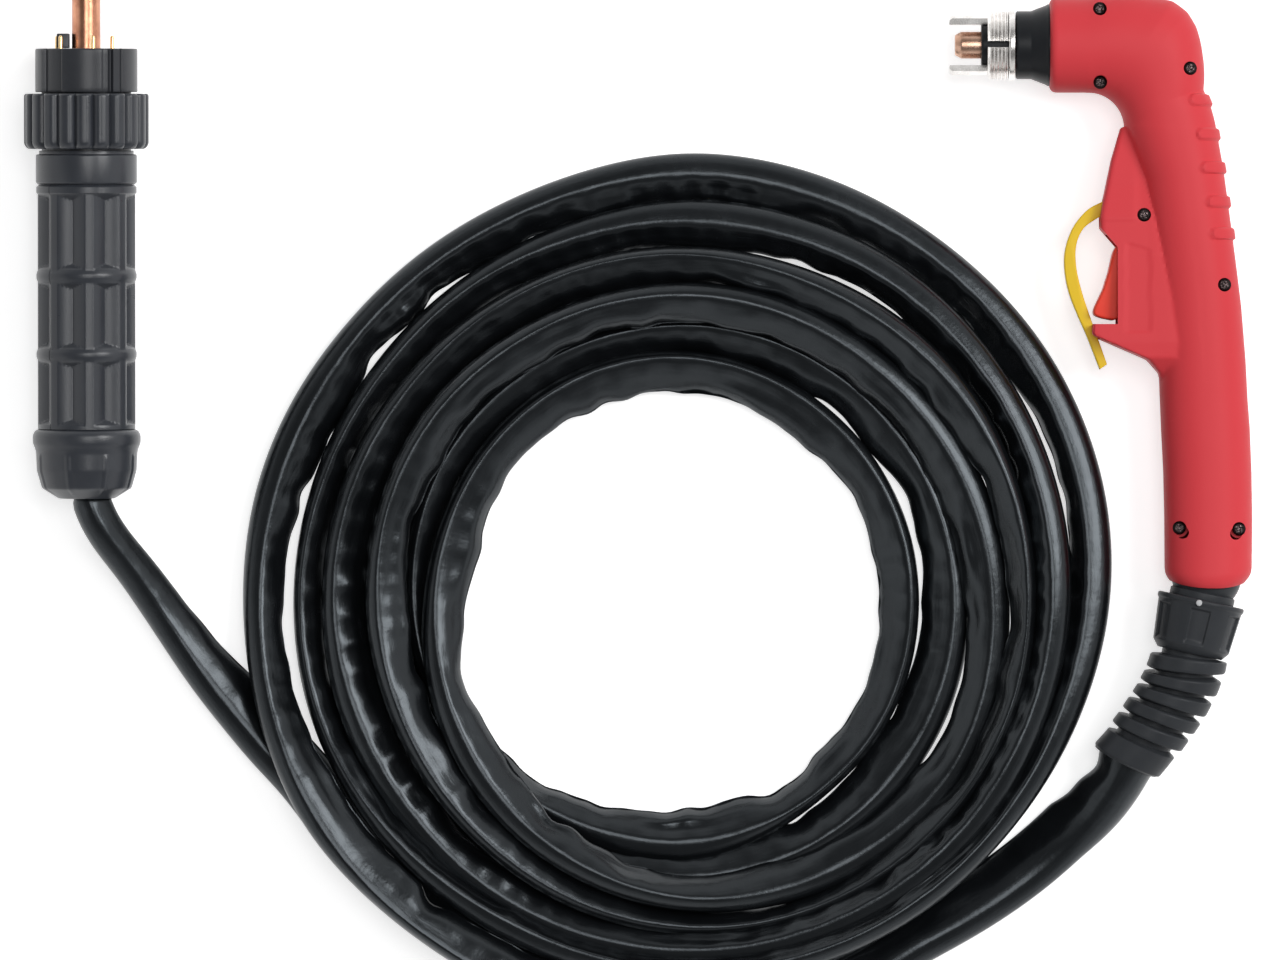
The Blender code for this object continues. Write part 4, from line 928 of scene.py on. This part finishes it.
trigger = {
    "outline": [(-34.9, 127.2), (-36.3, 124.6), (-38.0, 117.0), (-40.1, 110.4), (-43.2, 103.9),
                (-43.8, 101.8), (-43.4, 100.4), (-41.2, 99.5), (-36.0, 98.4), (-33.6, 99.6),
                (-32.4, 108.0), (-31.8, 118.0), (-31.5, 124.0), (-32.0, 126.2), (-33.2, 127.3)],
    "halfWidth": 8.55, "rounding": 1.0, "hinge": (-33.4, 124.6), "eye": 1.3,
}
lever = {
    # the outer edge from the knuckle down to the tip, then the inner edge back up
    "outer": [(-40.3, 144.2), (-45.6, 141.3), (-50.4, 136.0), (-53.3, 130.1), (-54.8, 123.6),
              (-54.6, 116.5), (-53.0, 108.9), (-49.8, 100.6), (-46.2, 92.4), (-41.2, 79.6)],
    "inner": [(-38.4, 81.6), (-41.8, 91.2), (-45.1, 100.4), (-48.4, 110.6), (-50.3, 119.6), (-50.2, 127.6),
              (-47.4, 133.9), (-41.6, 138.2)],
    "knuckle": (-38.5, 140.9), "knuckleRadius": 3.1,
    "halfWidth": 4.0, "rounding": 0.55, "pin": 1.3,
}


def plasticSheet(name, lit, shade, rough):
    # small moulded parts: slight colour drift, fine grain, rubbed spots
    sheet = Sheet(name, Specular_IOR_Level=0.16)
    where = sheet.place()
    drift = sheet.noise(where, 60.0, 4.0, 0.6)
    grain = sheet.noise(where, 1500.0, 2.0, 0.6)
    rub = sheet.span(sheet.noise(where, 210.0, 5.0, 0.7), 0.6, 0.72)
    colour = sheet.mix(drift, shade, lit)
    colour = sheet.mix(rub * 0.1, colour, tuple(min(c * 1.5 + 0.02, 1.0) for c in lit))
    bump = sheet.bump(grain * 0.5 + drift * 0.3, 0.2, 0.0002)
    return sheet.feed(Base_Color=colour, Roughness=rough + 0.12 * (drift - 0.5) - 0.08 * rub, Normal=bump)


def makeTrigger():
    # the trigger's outline made smooth, given thickness, with a hole for its pin
    half = trigger["halfWidth"]
    piece = slab("trigger_blade", rounded(trigger["outline"], 1.1, 3), -half, half, trigger["rounding"],
                 handleFrame)
    cut(piece, [slab("eye", circle(trigger["eye"], 24, trigger["hinge"]), -12, 12, 0, handleFrame)])
    orange = plasticSheet("triggerOrange", (1.0, 0.088, 0.054), (0.85, 0.056, 0.034), 0.38)
    keep(piece, orange, "trigger", "orange", "trigger", sharp=32)


def makeLever():
    # a band between two smooth edges, closed by the round knuckle
    kx, ky = lever["knuckle"]
    a = np.radians(np.linspace(-112, 96, 16))
    knuckle = np.stack([kx + lever["knuckleRadius"] * np.cos(a), ky + lever["knuckleRadius"] * np.sin(a)],
                       axis=1)
    outline = np.vstack([spline(lever["outer"], 6), spline(lever["inner"], 6), knuckle])
    half = lever["halfWidth"]
    piece = slab("lever_band", outline, -half, half, lever["rounding"], handleFrame)
    cut(piece, [slab("eye", circle(lever["pin"], 24, lever["knuckle"]), -12, 12, 0, handleFrame)])
    yellow = plasticSheet("leverYellow", (0.97, 0.67, 0.034), (0.90, 0.58, 0.028), 0.36)
    keep(piece, yellow, "safety_lever", "yellow", "safety_lever", sharp=32)


screw = {
    "radius": 2.55, "crown": 0.35, "sunk": 0.9, "armWidth": 0.42, "armLength": 1.45, "depth": 0.9,
    "deeper": 0.9,  # how much further the last two are sunk
    "under": 2.5, "shank": 1.2, "shankEnd": -9.0,
    "away": 2.6,  # the radius that the finish reads below the head
}


def makeScrews():
    # A domed head with a cross recess: height falls with the radius squared, and by a smooth step inside
    # two crossing arms. Below it a shank runs into the lower half.
    def bar(over, onward):
        narrow = 1 - smoothstep(np.abs(over), screw["armWidth"] - 0.12, screw["armWidth"] + 0.12)
        return narrow * (1 - smoothstep(np.abs(onward), screw["armLength"] - 0.2, screw["armLength"] + 0.1))

    steel = screwSteel()
    rings, columns = 26, 56
    r = np.linspace(0.04, 1, rings) * screw["radius"]
    a = np.linspace(0, 2 * np.pi, columns, endpoint=False)
    x, y = r[:, None] * np.cos(a), r[:, None] * np.sin(a)
    for number, (atX, atY, surface) in enumerate(handle["screws"], 1):
        turn = 0.7 * number
        u, v = x * math.cos(turn) + y * math.sin(turn), -x * math.sin(turn) + y * math.cos(turn)
        arm = np.maximum(bar(u, v), bar(v, u))
        rim = 0.25 * smoothstep(np.hypot(x, y), screw["radius"] - 0.45, screw["radius"])
        z = screw["crown"] * (1 - (np.hypot(x, y) / screw["radius"]) ** 2) - screw["depth"] * arm - rim
        z = z + surface - screw["sunk"] - (screw["deeper"] if number > 5 else 0)
        grid = np.stack([x + atX, y + atY, z], axis=-1)
        under, shank = surface - screw["under"], screw["shank"]
        for radius, level in ((screw["radius"], under), (shank, under), (shank, screw["shankEnd"])):
            ring = np.stack([atX + radius * np.cos(a), atY + radius * np.sin(a), np.full(columns, level)],
                            axis=1)
            grid = np.concatenate([grid, ring[None]])
        grid = grid + pivot
        points, faces = closedGrid(grid, grid[0].mean(axis=0), grid[-1].mean(axis=0))
        away = screw["away"]
        polar = np.stack([np.repeat([*r, away, away, away], columns), np.tile(a, len(grid))], axis=1)
        piece = addPiece(f"screw_head_{number}", points, [f[::-1] for f in faces], steel, "handle", "steel",
                         sharp=40, uv=np.vstack([polar, [[0, 0], [away, 0]]]))
        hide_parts(f"handle_screw_{number}")


def screwSteel():
    # blackened steel; the middle of the head speckled grey, partly bare metal in the recess and partly
    # painted glints
    sheet = Sheet("screwSteel", Metallic=0.85)
    radius = sheet.axis(sheet.node("ShaderNodeUVMap", {"uv_map": "along"}), "X")
    where = sheet.place()
    marks = sheet.noise(where, 1700.0, 3.0, 0.7)
    middle = 1 - sheet.span(radius, 1.35, 1.75)
    # grey speckles in the middle of the head: bare metal of the recess, with painted glints
    bright = (middle * sheet.span(marks, 0.42, 0.56)).clamp()
    colour = sheet.mix(bright, (0.012, 0.008, 0.008), (0.20, 0.15, 0.15))
    return sheet.feed(Base_Color=colour, Roughness=0.52 - 0.18 * bright,
                      Normal=sheet.bump(marks, 0.5, 0.0003))


makeTrigger()
makeLever()
makeScrews()
print("torch: trigger, lever and screws")


head = {
    "neck": [(15.8, -3.4), (15.8, 0.6), (15.3, 1.4), (13.1, 7.1), (13.1, 12.4), (12.6, 12.9), (6.4, 12.9),
             (6.4, -3.4)],
    "disc": [(8.5, 13.3), (8.5, 25.7), (8.0, 26.2), (5.6, 26.2), (5.6, 25.0), (3.4, 25.0), (3.4, 21.5),
             (2.1, 21.5), (2.1, 13.3)],
    "collar": [(13.8, 13.4), (13.8, 15.2), (13.5, 15.7), (9.0, 15.7), (9.0, 13.4)],
    "electrode": [(0.0, 36.3), (3.9, 36.3), (5.2, 33.9), (5.2, 25.3), (3.1, 25.3), (3.1, 22.0),
                  (0.0, 22.0)],
    "slot": 1.15, "prong": (8.9, 11.6), "prongHalf": 5.0, "prongEnd": 38.5,
    "threads": 5, "threadFoot": 16.4, "threadPitch": 1.45, "crest": 13.8, "root": 13.0,
}


def metal(name, lit, shade, rough, streak):
    # bare metal: turning marks along one direction, stains and small bright scratches
    sheet = Sheet(name, Metallic=1.0)
    where = sheet.place()
    lines = sheet.noise(sheet.scaled(where, streak), 900.0, 4.0, 0.6)
    stain = sheet.noise(where, 130.0, 4.0, 0.6)
    scratch = sheet.span(sheet.noise(sheet.scaled(where, streak), 260.0, 6.0, 0.8), 0.62, 0.7)
    colour = sheet.mix(sheet.span(stain, 0.35, 0.7), lit, shade)
    colour = sheet.mix(scratch * 0.5, colour, tuple(min(c * 1.15, 1.0) for c in lit))
    return sheet.feed(Base_Color=colour, Roughness=rough + 0.16 * (lines - 0.5) + 0.10 * (stain - 0.5),
                      Normal=sheet.bump(lines, 0.35, 0.00008))


def blackPlastic(name, lit, shade, rough, scale=1.0, gloss=0.15):
    # dark moulded plastic: fine grain, dust in patches, grey scuffs
    sheet = Sheet(name, Specular_IOR_Level=gloss)
    where = sheet.place()
    grain = sheet.noise(where, 1300.0 * scale, 2.0, 0.6)
    dust = sheet.noise(where, 70.0 * scale, 5.0, 0.65)
    scuff = sheet.span(sheet.noise(sheet.scaled(where, (1.0, 2.6, 1.0)), 240.0 * scale, 6.0, 0.75), 0.62,
                       0.74)
    colour = sheet.mix(dust, shade, lit)
    colour = sheet.mix(scuff * 0.22, colour, tuple(c * 2.2 + 0.01 for c in lit))
    return sheet.feed(Base_Color=colour, Roughness=rough + 0.14 * (dust - 0.5) - 0.05 * scuff,
                      Normal=sheet.bump(grain * 0.5 + dust * 0.3, 0.25, 0.0002))


def makeHead():
    # turned pieces on the head's axis; the two contact halves are part turns with a prong each
    black = blackPlastic("neckBlack", (0.019, 0.021, 0.024), (0.012, 0.013, 0.015), 0.34)
    nickel = metal("nickelPlate", (0.88, 0.86, 0.84), (0.64, 0.62, 0.60), 0.26, (6, 1, 1))
    copper = metal("warmCopper", (0.66, 0.42, 0.31), (0.50, 0.29, 0.20), 0.28, (1, 7, 7))
    # name, profile, corner radius, steps, columns, finish, slot, solid
    for name, shape, corner, steps, columns, finish, slot, node in (
            ("neck_sleeve", "neck", 0.35, 3, 96, black, "black", "head_neck"),
            ("insulator_disc", "disc", 0.3, 3, 80, black, "black", "head_insulator"),
            ("nickel_collar", "collar", 0.25, 3, 96, nickel, "nickel", "head_collar"),
            ("electrode_tip", "electrode", 0.35, 4, 72, copper, "copper", "electrode")):
        keep(turning(name, rounded(head[shape], corner, steps), headFrame, columns), finish, "handle", slot,
             node, sharp=32)
    thread = [(8.9, 16.0), (head["root"], 16.0)]
    for n in range(head["threads"]):
        low = head["threadFoot"] + n * head["threadPitch"]
        thread += [(head["root"], low), (head["crest"], low + 0.45), (head["crest"], low + 0.8),
                   (head["root"], low + 1.25)]
    thread += [(12.5, 23.9), (8.9, 23.9)]
    turnSlot = math.degrees(math.asin(head["slot"] / 12.5))
    inner, outer = head["prong"]
    prongTurn = math.degrees(math.asin(head["prongHalf"] / 10.3))
    prong = rounded([(inner, 23.0), (outer, 23.0), (outer, 37.4), (outer - 0.9, head["prongEnd"]),
                     (inner, head["prongEnd"])], 0.25, 2)
    for name, low, middle in (("upper", turnSlot - 90, 0), ("lower", 90 + turnSlot, 180)):
        ring = turning("half", rounded(thread, 0.1, 1), headFrame, 64, (low, low + 180 - 2 * turnSlot))
        finger = turning("finger", prong, headFrame, 16, (middle - prongTurn, middle + prongTurn))
        cut(ring, [finger], "UNION")
        ring.name = f"contact_half_{name}"
        keep(ring, nickel, "handle", "nickel", f"contact_ring_{name}", sharp=28)


makeHead()
print("torch: head")


gland = {
    "lean": 12.6,  # degrees that the cable end leans to the left of the grip
    "ball": 13.4, "ballArc": (-65.5, 44), "stem": [(5.4, -12.2), (9.2, 10.2), (9.2, 24.0), (5.4, 24.0)],
    "ring": [(12.0, 6.2), (12.6, 6.6), (12.6, 9.3), (9.4, 9.3), (9.4, 6.2)],
    "nut": [(10.9, 9.2), (16.4, 9.2), (16.9, 9.7), (16.9, 10.9), (16.3, 11.6), (14.9, 27.4), (12.6, 30.3),
            (6.6, 30.3), (6.6, 24.4), (9.6, 24.4), (9.6, 11.6)],
    "pip": [(0.0, 15.9), (1.2, 15.9), (1.2, 17.5), (0.0, 17.6)], "pipPlace": (10.6, 1.3),
    "windows": (13.2, 26.2), "windowHalf": 14.0, "windowDepth": 0.95,
    "line": [(34.45, -101.0, 18.5), (33.2, -106.5, 18.2), (30.8, -112.9, 17.6), (27.2, -119.9, 17.0),
             (22.8, -126.7, 16.4), (18.5, -132.8, 15.8), (14.1, -138.5, 15.0), (9.8, -143.5, 14.2)],
    "ribs": 5, "ribStart": 2.1, "ribPitch": 7.45, "ribWidth": 5.6, "ribRadius": 14.9, "ribLean": 3.2,
    "core": 10.7,
    "collar": 13.6, "collarLength": 9.8,
}


def windows(radius, level, fromTop):
    # six shallow fields round the nut, the radius drawn in between two heights
    low, high = gland["windows"]
    apart = np.abs((fromTop + 30) % 60 - 30)
    mask = (1 - smoothstep(apart, gland["windowHalf"] - 1.0, gland["windowHalf"] + 1.0)) * (radius > 12)
    mask = mask * smoothstep(level, low - 0.4, low + 0.4) * (1 - smoothstep(level, high - 0.4, high + 0.4))
    return radius - gland["windowDepth"] * mask


def makeRelief(finish):
    # A pipe along the relief's line whose radius steps out at each rib, and at the last stretch to a
    # collar. Each point is then moved along the line by lean * cos(angle), so that the ribs lean.
    line = evenly(spline(gland["line"]), 0.3)
    places = along(line)
    total = places[-1]
    forward = unit(np.gradient(line, axis=0))
    side = unit(np.cross(forward, upward))
    up = np.cross(side, forward)
    columns = 96
    a = np.linspace(0, 2 * np.pi, columns, endpoint=False)
    radius = np.full((len(line), columns), gland["core"])
    for rib in range(gland["ribs"]):
        middle = gland["ribStart"] + rib * gland["ribPitch"] + gland["ribWidth"] / 2
        tall = gland["ribRadius"] - 0.16 * rib
        away = np.abs(places - middle) / (gland["ribWidth"] / 2)
        radius = radius + ((tall - gland["core"]) * np.clip(1 - away ** 10, 0, 1) ** 0.5)[:, None]
    start = total - gland["collarLength"]
    rise = smoothstep(places, start - 0.4, start + 0.4) * (gland["collar"] - gland["core"])
    fall = 0.9 * smoothstep(places, total - 1.2, total)
    radius = radius + (rise - fall)[:, None]
    spoke = np.cos(a)[:, None] * side[:, None] + np.sin(a)[:, None] * up[:, None]
    grid = line[:, None] + radius[..., None] * spoke
    # the mouth turns in at the collar's end and runs back a little way
    for r, back in ((11.9, 0.0), (11.5, 0.5), (11.3, 5.0)):
        ring = line[-1] - forward[-1] * back + r * spoke[-1]
        grid = np.concatenate([grid, ring[None]])
    lean = np.concatenate([smoothstep(places, 0, 7), np.ones(3)])[:, None]
    lean = lean * gland["ribLean"] * np.cos(a)[None]
    grid = grid + lean[..., None] * np.vstack([forward] + [forward[-1:]] * 3)[:, None]
    points, faces = closedGrid(grid, line[:1], line[-1] - forward[-1] * 5)
    faces = [f[::-1] for f in faces] if np.dot(np.cross(side[0], up[0]), forward[0]) < 0 else faces
    keep(addPiece("ribbed_relief", points, faces), finish, "cable", "black", "strain_relief", sharp=40)


def makeGland():
    # the ball with its ring, the nut with its sunk windows and pip, and the relief below
    lean = math.radians(gland["lean"])
    down = np.array([-math.sin(lean), -math.cos(lean), 0])
    side = np.array([math.cos(lean), -math.sin(lean), 0])
    here = (pivot, down, side, upward)
    black = blackPlastic("glandBlack", (0.044, 0.048, 0.053), (0.028, 0.030, 0.034), 0.38)
    a = np.radians(np.linspace(*gland["ballArc"], 36))
    arc = np.stack([gland["ball"] * np.cos(a), gland["ball"] * np.sin(a)], axis=1)
    ball = np.vstack([gland["stem"][:1], arc, gland["stem"][1:]])
    joint = turning("ball_and_neck", ball, here, 80)
    ring = turning("ring", rounded(gland["ring"], 0.3, 3), here, 80)
    cut(joint, [ring], "UNION")
    keep(joint, black, "cable", "black", "ball_joint", sharp=40)
    nut = turning("gland_cap", dense(rounded(gland["nut"], 0.4, 3), 0.8), here, 240, shape=windows)
    below, beside = gland["pipPlace"]
    pip = turning("index_pip", rounded(gland["pip"], (0, 0.1, 0.5, 0), 4),
                  (pivot + down * below - side * beside, upward, across, forth), 32)
    keep(pip, blackPlastic("pipGrey", (0.62, 0.63, 0.64), (0.50, 0.51, 0.52), 0.40), "cable", "black",
         sharp=40)
    keep(nut, black, "cable", "black", "gland_nut")
    makeRelief(black)


makeGland()
print("torch: ball joint, nut and strain relief")


connector = {
    "barrel": [(15.4, 100.5), (17.5, 100.5), (17.5, 98.9), (18.4, 98.9), (19.3, 98.0), (19.3, 5.05),
               (15.4, 5.05)],
    "barrelRadius": 18.75, "flute": 2.7, "fluteHalf": 17.5, "fluteTurn": 5.8,
    "rows": [(6.6, 31.2), (36.0, 61.2), (66.4, 95.2)],
    "bands": [33.6, 63.8], "bandRise": 0.55,
    "seam": 135.6, "seamGap": 0.45,  # degrees
    "ring": [(17.7, 99.0), (18.6, 99.0), (19.45, 99.8), (19.45, 110.0), (19.2, 110.5), (18.2, 110.6),
             (18.2, 112.0), (17.7, 112.0)],
    "nut": [(17.7, 112.6), (22.6, 112.6), (24.0, 114.4), (24.0, 133.2), (23.5, 133.9), (17.7, 133.9)],
    "lobes": 20, "lobeDepth": 2.0,
    "plug": [(6.0, 88.0), (14.8, 88.0), (14.8, 98.0), (17.2, 104.0), (17.2, 134.5), (19.7, 134.5),
             (19.7, 150.8), (19.4, 151.2), (6.0, 151.2)],
    "cap": [(8.8, -21.8), (10.8, -21.8), (17.2, -17.8), (17.6, -16.6), (19.2, -11.0), (19.5, -4.0),
            (19.9, -2.4), (20.7, -0.6), (20.8, 1.1), (20.7, 2.8), (19.9, 4.3), (18.4, 5.0),
            (15.0, 5.0), (15.0, -11.0), (8.8, -18.0)],
    "tube": [(3.4, 60.0), (5.5, 60.0), (5.5, 184.3), (4.9, 185.2), (3.7, 185.2), (3.4, 184.9)],
    "pins": [(-11.4, -5.0), (-9.6, 5.2), (3.1, 11.6), (9.6, -8.2)],
    "pin": [(0.0, 147.4), (0.8, 147.4), (0.8, 155.5), (0.62, 156.0), (0.3, 156.2), (0.0, 156.2)],
    "socket": (1.15, 147.0, 153.0),  # radius, bottom and top of the hole round each pin
    "key": (-11.2, -6.4, 3.8, 151.4, 157.0),
    # sunk fields and slots of the plug's collar, in degrees from the top: from, to, depth
    "keys": [(-56, -27, 1.5), (21, 29, 0.9), (31.5, 33.5, 1.6), (44, 46, 0.8), (96, 130, 1.5),
             (150, 176, 1.2), (-150, -118, 1.5), (-92, -80, 1.0)],
}


def flutes(radius, level, fromTop):
    # V-shaped panels round the barrel in three rows with sloped ends, and bands between the rows
    outer = radius > 17
    apart = np.abs((fromTop - connector["fluteTurn"]) % 45 - 22.5)
    cutIn = connector["flute"] * np.clip(1 - (apart / connector["fluteHalf"]), 0, 1)
    ends = np.full(radius.shape, 0.0)
    for low, high in connector["rows"]:
        ends = np.maximum(ends, np.minimum(level - low, high - level))
    cutIn = np.minimum(cutIn, np.clip(ends, 0, 9) * 1.2)
    band = sum(np.exp(-((level - place) / 1.7) ** 4) for place in connector["bands"])
    base = connector["barrelRadius"] + connector["bandRise"] * band
    base = np.where(level > 95.6, 19.3, base)
    return np.where(outer, np.minimum(radius, base) - cutIn, radius)


def lobesOf(radius, level, fromTop):
    # rounded grips: the radius falls into a narrow groove twenty times round
    dip = (1 - np.abs(np.cos(np.radians(fromTop) * connector["lobes"] / 2))) ** 1.6
    return np.where(radius > 19, radius - connector["lobeDepth"] * dip, radius)


def keyways(radius, level, fromTop):
    # the plug's keyed collar: the radius less each field's depth, by smooth steps at its two sides
    out = radius.copy()
    for low, high, depth in connector["keys"]:
        mask = smoothstep(fromTop, low - 0.8, low + 0.8) * (1 - smoothstep(fromTop, high - 0.8, high + 0.8))
        out = out - depth * mask * (radius > 19)
    return out


def capRibs(radius, level, fromTop):
    # eight low grips round the end cap's bell
    apart = np.abs((fromTop + 20 + 22.5) % 45 - 22.5)
    grip = (1 - smoothstep(apart, 2.0, 3.0)) * smoothstep(-level, 4.0, 6.0)
    grip = grip * (1 - smoothstep(-level, 19.0, 21.0))
    return np.where(radius > 10.9, radius + 0.35 * grip, radius)


def makeConnector():
    # turned pieces on the connector's own axis, which lies tilted on its nut and its end cap
    grey = blackPlastic("connectorGrey", (0.043, 0.048, 0.058), (0.026, 0.029, 0.036), 0.30, 1.0, 0.46)
    dark = blackPlastic("plugBlack", (0.040, 0.043, 0.050), (0.026, 0.028, 0.033), 0.30, 1.0, 0.34)
    wall, gap = dense(connector["barrel"], 0.55), connector["seamGap"]
    for side, start in (("right", connector["seam"] - 180), ("left", connector["seam"])):
        half = turning(f"barrel_half_{side}", wall, plugFrame, 220, (start + gap, start + 180 - gap),
                       flutes)
        keep(half, grey, "cable", "dark", f"barrel_shell_{side}", sharp=24)
    keep(turning("barrel_collar", rounded(connector["ring"], 0.2, 2), plugFrame, 128), grey, "cable",
         "dark", "barrel_ring")
    nut = dense(rounded(connector["nut"], (0.3, 1.6, 1.6, 0.5, 0.4, 0.3), 5), 1.2)
    keep(turning("grip_nut", nut, plugFrame, 480, shape=lobesOf), grey, "coupling_nut", "dark",
         "coupling_nut", sharp=50)
    plug = turning("keyed_plug", dense(rounded(connector["plug"], 0.25, 2), 1.6), plugFrame, 420,
                   shape=keyways)
    face = (foot, across, acrossUp, axisUp)
    radius, bottom, top = connector["socket"]
    cut(plug, [slab(f"socket{i}", circle(radius, 20, place), bottom, top, 0, face)
               for i, place in enumerate(connector["pins"])])
    keep(plug, dark, "cable", "black", "plug_body")
    cap = dense(rounded(connector["cap"], 0.7, 3), 0.8)
    keep(turning("cap_bell", cap, plugFrame, 200, shape=capRibs), grey, "cable", "dark", "end_cap",
         sharp=50)
    copper = metal("tubeCopper", (0.64, 0.31, 0.195), (0.44, 0.19, 0.115), 0.24, (1, 7, 1))
    keep(turning("copper_pipe", rounded(connector["tube"], 0.25, 3), plugFrame, 96), copper, "cable",
         "copper", "power_tube")
    gold = metal("pinGold", (0.90, 0.66, 0.34), (0.72, 0.48, 0.20), 0.22, (1, 5, 1))
    for number, (x, z) in enumerate(connector["pins"], 1):
        place = (foot + across * x + acrossUp * z, axisUp, across, acrossUp)
        keep(turning(f"gold_pin_{number}", connector["pin"], place, 28), gold, "cable", "brass",
             f"control_pin_{number}")
    left, right, half, bottom, top = connector["key"]
    keyShape = rounded([(left, bottom), (right, bottom), (right, top), (left, top)], 0.5, 3)
    keep(slab("key_lug", keyShape, -half, half, 0.4, (foot, across, axisUp, acrossUp)), dark, "cable",
         "black", "key_block")


makeConnector()
print("torch: connector")


def pipe(name, points, radius, columns=20, per=16, step=0.8):
    # a round cross-section carried along a smooth line, its sides kept from twisting by the world's up
    line = evenly(spline(points, per), step)
    forward = unit(np.gradient(line, axis=0))
    side = unit(np.cross(forward, np.where(np.abs(forward[:, 2:]) > 0.8, across, upward)))
    over = np.cross(side, forward)
    a = np.linspace(0, 2 * np.pi, columns, endpoint=False)
    spoke = np.cos(a)[:, None] * side[:, None] + np.sin(a)[:, None] * over[:, None]
    grid = line[:, None] + radius * spoke
    points, faces = closedGrid(grid, line[:1], line[-1:])
    return addPiece(name, points, [f[::-1] for f in faces])


inside = {
    "pins": {"trigger_pin": (-33.4, 124.6), "lever_pin": (-38.5, 140.9)}, "pinRadius": 1.0,
    "pinHalf": {"trigger_pin": 9.9, "lever_pin": 8.6},
    "switch": (-27.4, 8.0, 101.5, 121.0, 3.0),  # face, depth, low, high, half thickness
    # radius, wire, height, length, turns
    "plunger": (1.1, 109.0), "spring": (1.5, 0.28, 103.8, 4.0, 3), "springPressed": 0.32,
    "wires": [(-18.0, 103.6, 0), (-14.4, 98.0, 2.0), (-11.2, 84.0, 6.0), (-9.6, 60.0, 7.0),
              (-8.6, 38.0, 7.5), (-3.0, 24.0, 9.0)],
    "hose": [(-24.2, 204.5, 0), (-16.8, 196.5, 0), (-14.2, 181.0, 0), (-9.4, 156.0, 0),
             (-5.4, 129.0, 0), (-1.6, 104.0, 0), (0.4, 76.0, 0), (0.6, 46.0, 0), (0.0, 14.4, 0)],
    "body": [(6.0, 12.6), (6.0, -36.0), (3.0, -36.0), (3.0, 12.6)],
    "seal": [(14.6, -4.0), (14.6, -10.2), (5.3, -14.6), (5.3, -4.0)],
    "ferrule": [(8.6, 86.0), (8.6, 58.0), (5.8, 58.0), (5.8, 86.0)],
    "crimps": (65.0, 78.0), "crimpHalf": 3.2, "crimpDepth": 0.15,
}


def makeInside():
    # what shows through the openings or lies behind them: pins, switch with its plunger, spring, wires,
    # hose, the head's brass body, and in the connector the seal and the ferrule
    steel = metal("pinSteel", (0.50, 0.49, 0.48), (0.34, 0.33, 0.32), 0.30, (1, 1, 6))
    brass = metal("bodyBrass", (0.78, 0.58, 0.28), (0.58, 0.40, 0.18), 0.30, (1, 6, 1))
    rubber = blackPlastic("hoseRubber", (0.030, 0.031, 0.033), (0.018, 0.019, 0.020), 0.60)
    case = blackPlastic("switchCase", (0.035, 0.036, 0.040), (0.022, 0.023, 0.026), 0.46)
    for name, (x, y) in inside["pins"].items():
        half, r = inside["pinHalf"][name], inside["pinRadius"]
        profile = rounded([(0.0, -half), (r, -half), (r, half), (0.0, half)], (0.0, 0.25, 0.25, 0.0), 3)
        keep(turning(f"{name}_turned", profile, (pivot + (x, y, 0), upward, across, forth), 28), steel,
             "handle", "steel", name)
    face, depth, low, high, half = inside["switch"]
    outline = rounded([(face, low), (face + depth, low), (face + depth, high), (face, high)], 0.7, 3)
    switch = slab("switch_case", outline, -half, half, 0.4, handleFrame)
    r, height = inside["plunger"]
    place = (pivot + (face, height, 0), across, forth, upward)
    bore = turning("bore", [(0.0, -1.0), (r + 0.2, -1.0), (r + 0.2, 3.0), (0.0, 3.0)], place, 32)
    keep(cut(switch, [bore]), case, "handle", "dark", "micro_switch")
    button = rounded([(0.0, -4.2), (r, -4.2), (r, 0.6), (0.0, 0.6)], (0.0, 0.35, 0.1, 0.0), 3)
    keep(turning("switch_button", button, place, 32), steel, "plunger", "steel", "switch_plunger")
    r, wire, height, reach, turns = inside["spring"]
    t = np.linspace(0, 1, turns * 28 + 1)
    helix = pivot + np.stack([face - 0.25 - wire - reach * t, height + r * np.cos(2 * np.pi * turns * t),
                              r * np.sin(2 * np.pi * turns * t)], axis=1)
    spring = pipe("spring_wire", helix, wire, 12, 2, 0.2)
    keep(spring, steel, "handle", "steel", "trigger_spring")
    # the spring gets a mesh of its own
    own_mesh(spring)
    keep(pipe("wire_pair", pivot + np.array(inside["wires"]), 1.15, 14), rubber, "handle", "rubber",
         "switch_wires")
    keep(pipe("hose_in_grip", pivot + np.array(inside["hose"]), 4.5, 28), rubber, "handle",
         "rubber", "grip_hose")
    keep(turning("head_brass", rounded(inside["body"], 0.3, 2), headFrame, 56), brass, "handle", "brass",
         "head_body")
    keep(turning("cable_seal_ring", rounded(inside["seal"], 0.3, 2), plugFrame, 64), rubber, "cable",
         "rubber", "cable_seal")
    keep(turning("ferrule_crimped", dense(rounded(inside["ferrule"], 0.3, 2), 1.0), plugFrame, 120,
                 shape=crimps), brass, "cable", "brass", "hose_ferrule")


def crimps(radius, level, fromTop):
    # two bands of the ferrule pressed into eight flats
    outer = inside["ferrule"][0][0]
    flat = outer * np.cos(np.radians(22.5)) / np.cos(np.radians((fromTop + 22.5) % 45 - 22.5))
    band = sum(np.exp(-((level - place) / inside["crimpHalf"]) ** 6) for place in inside["crimps"])
    pressed = radius + (flat - outer - inside["crimpDepth"]) * band * (flat < outer)
    return np.where(radius > 8, pressed, radius)


makeInside()
print("torch: pins, switch, hose and ferrule")


tuple(cableMiddle[0] * mm)
cableLength * mm
[tuple(p * mm) for p in cableMiddle[::3]] + [tuple(cableMiddle[-1] * mm)]


print("torch: every piece is made")
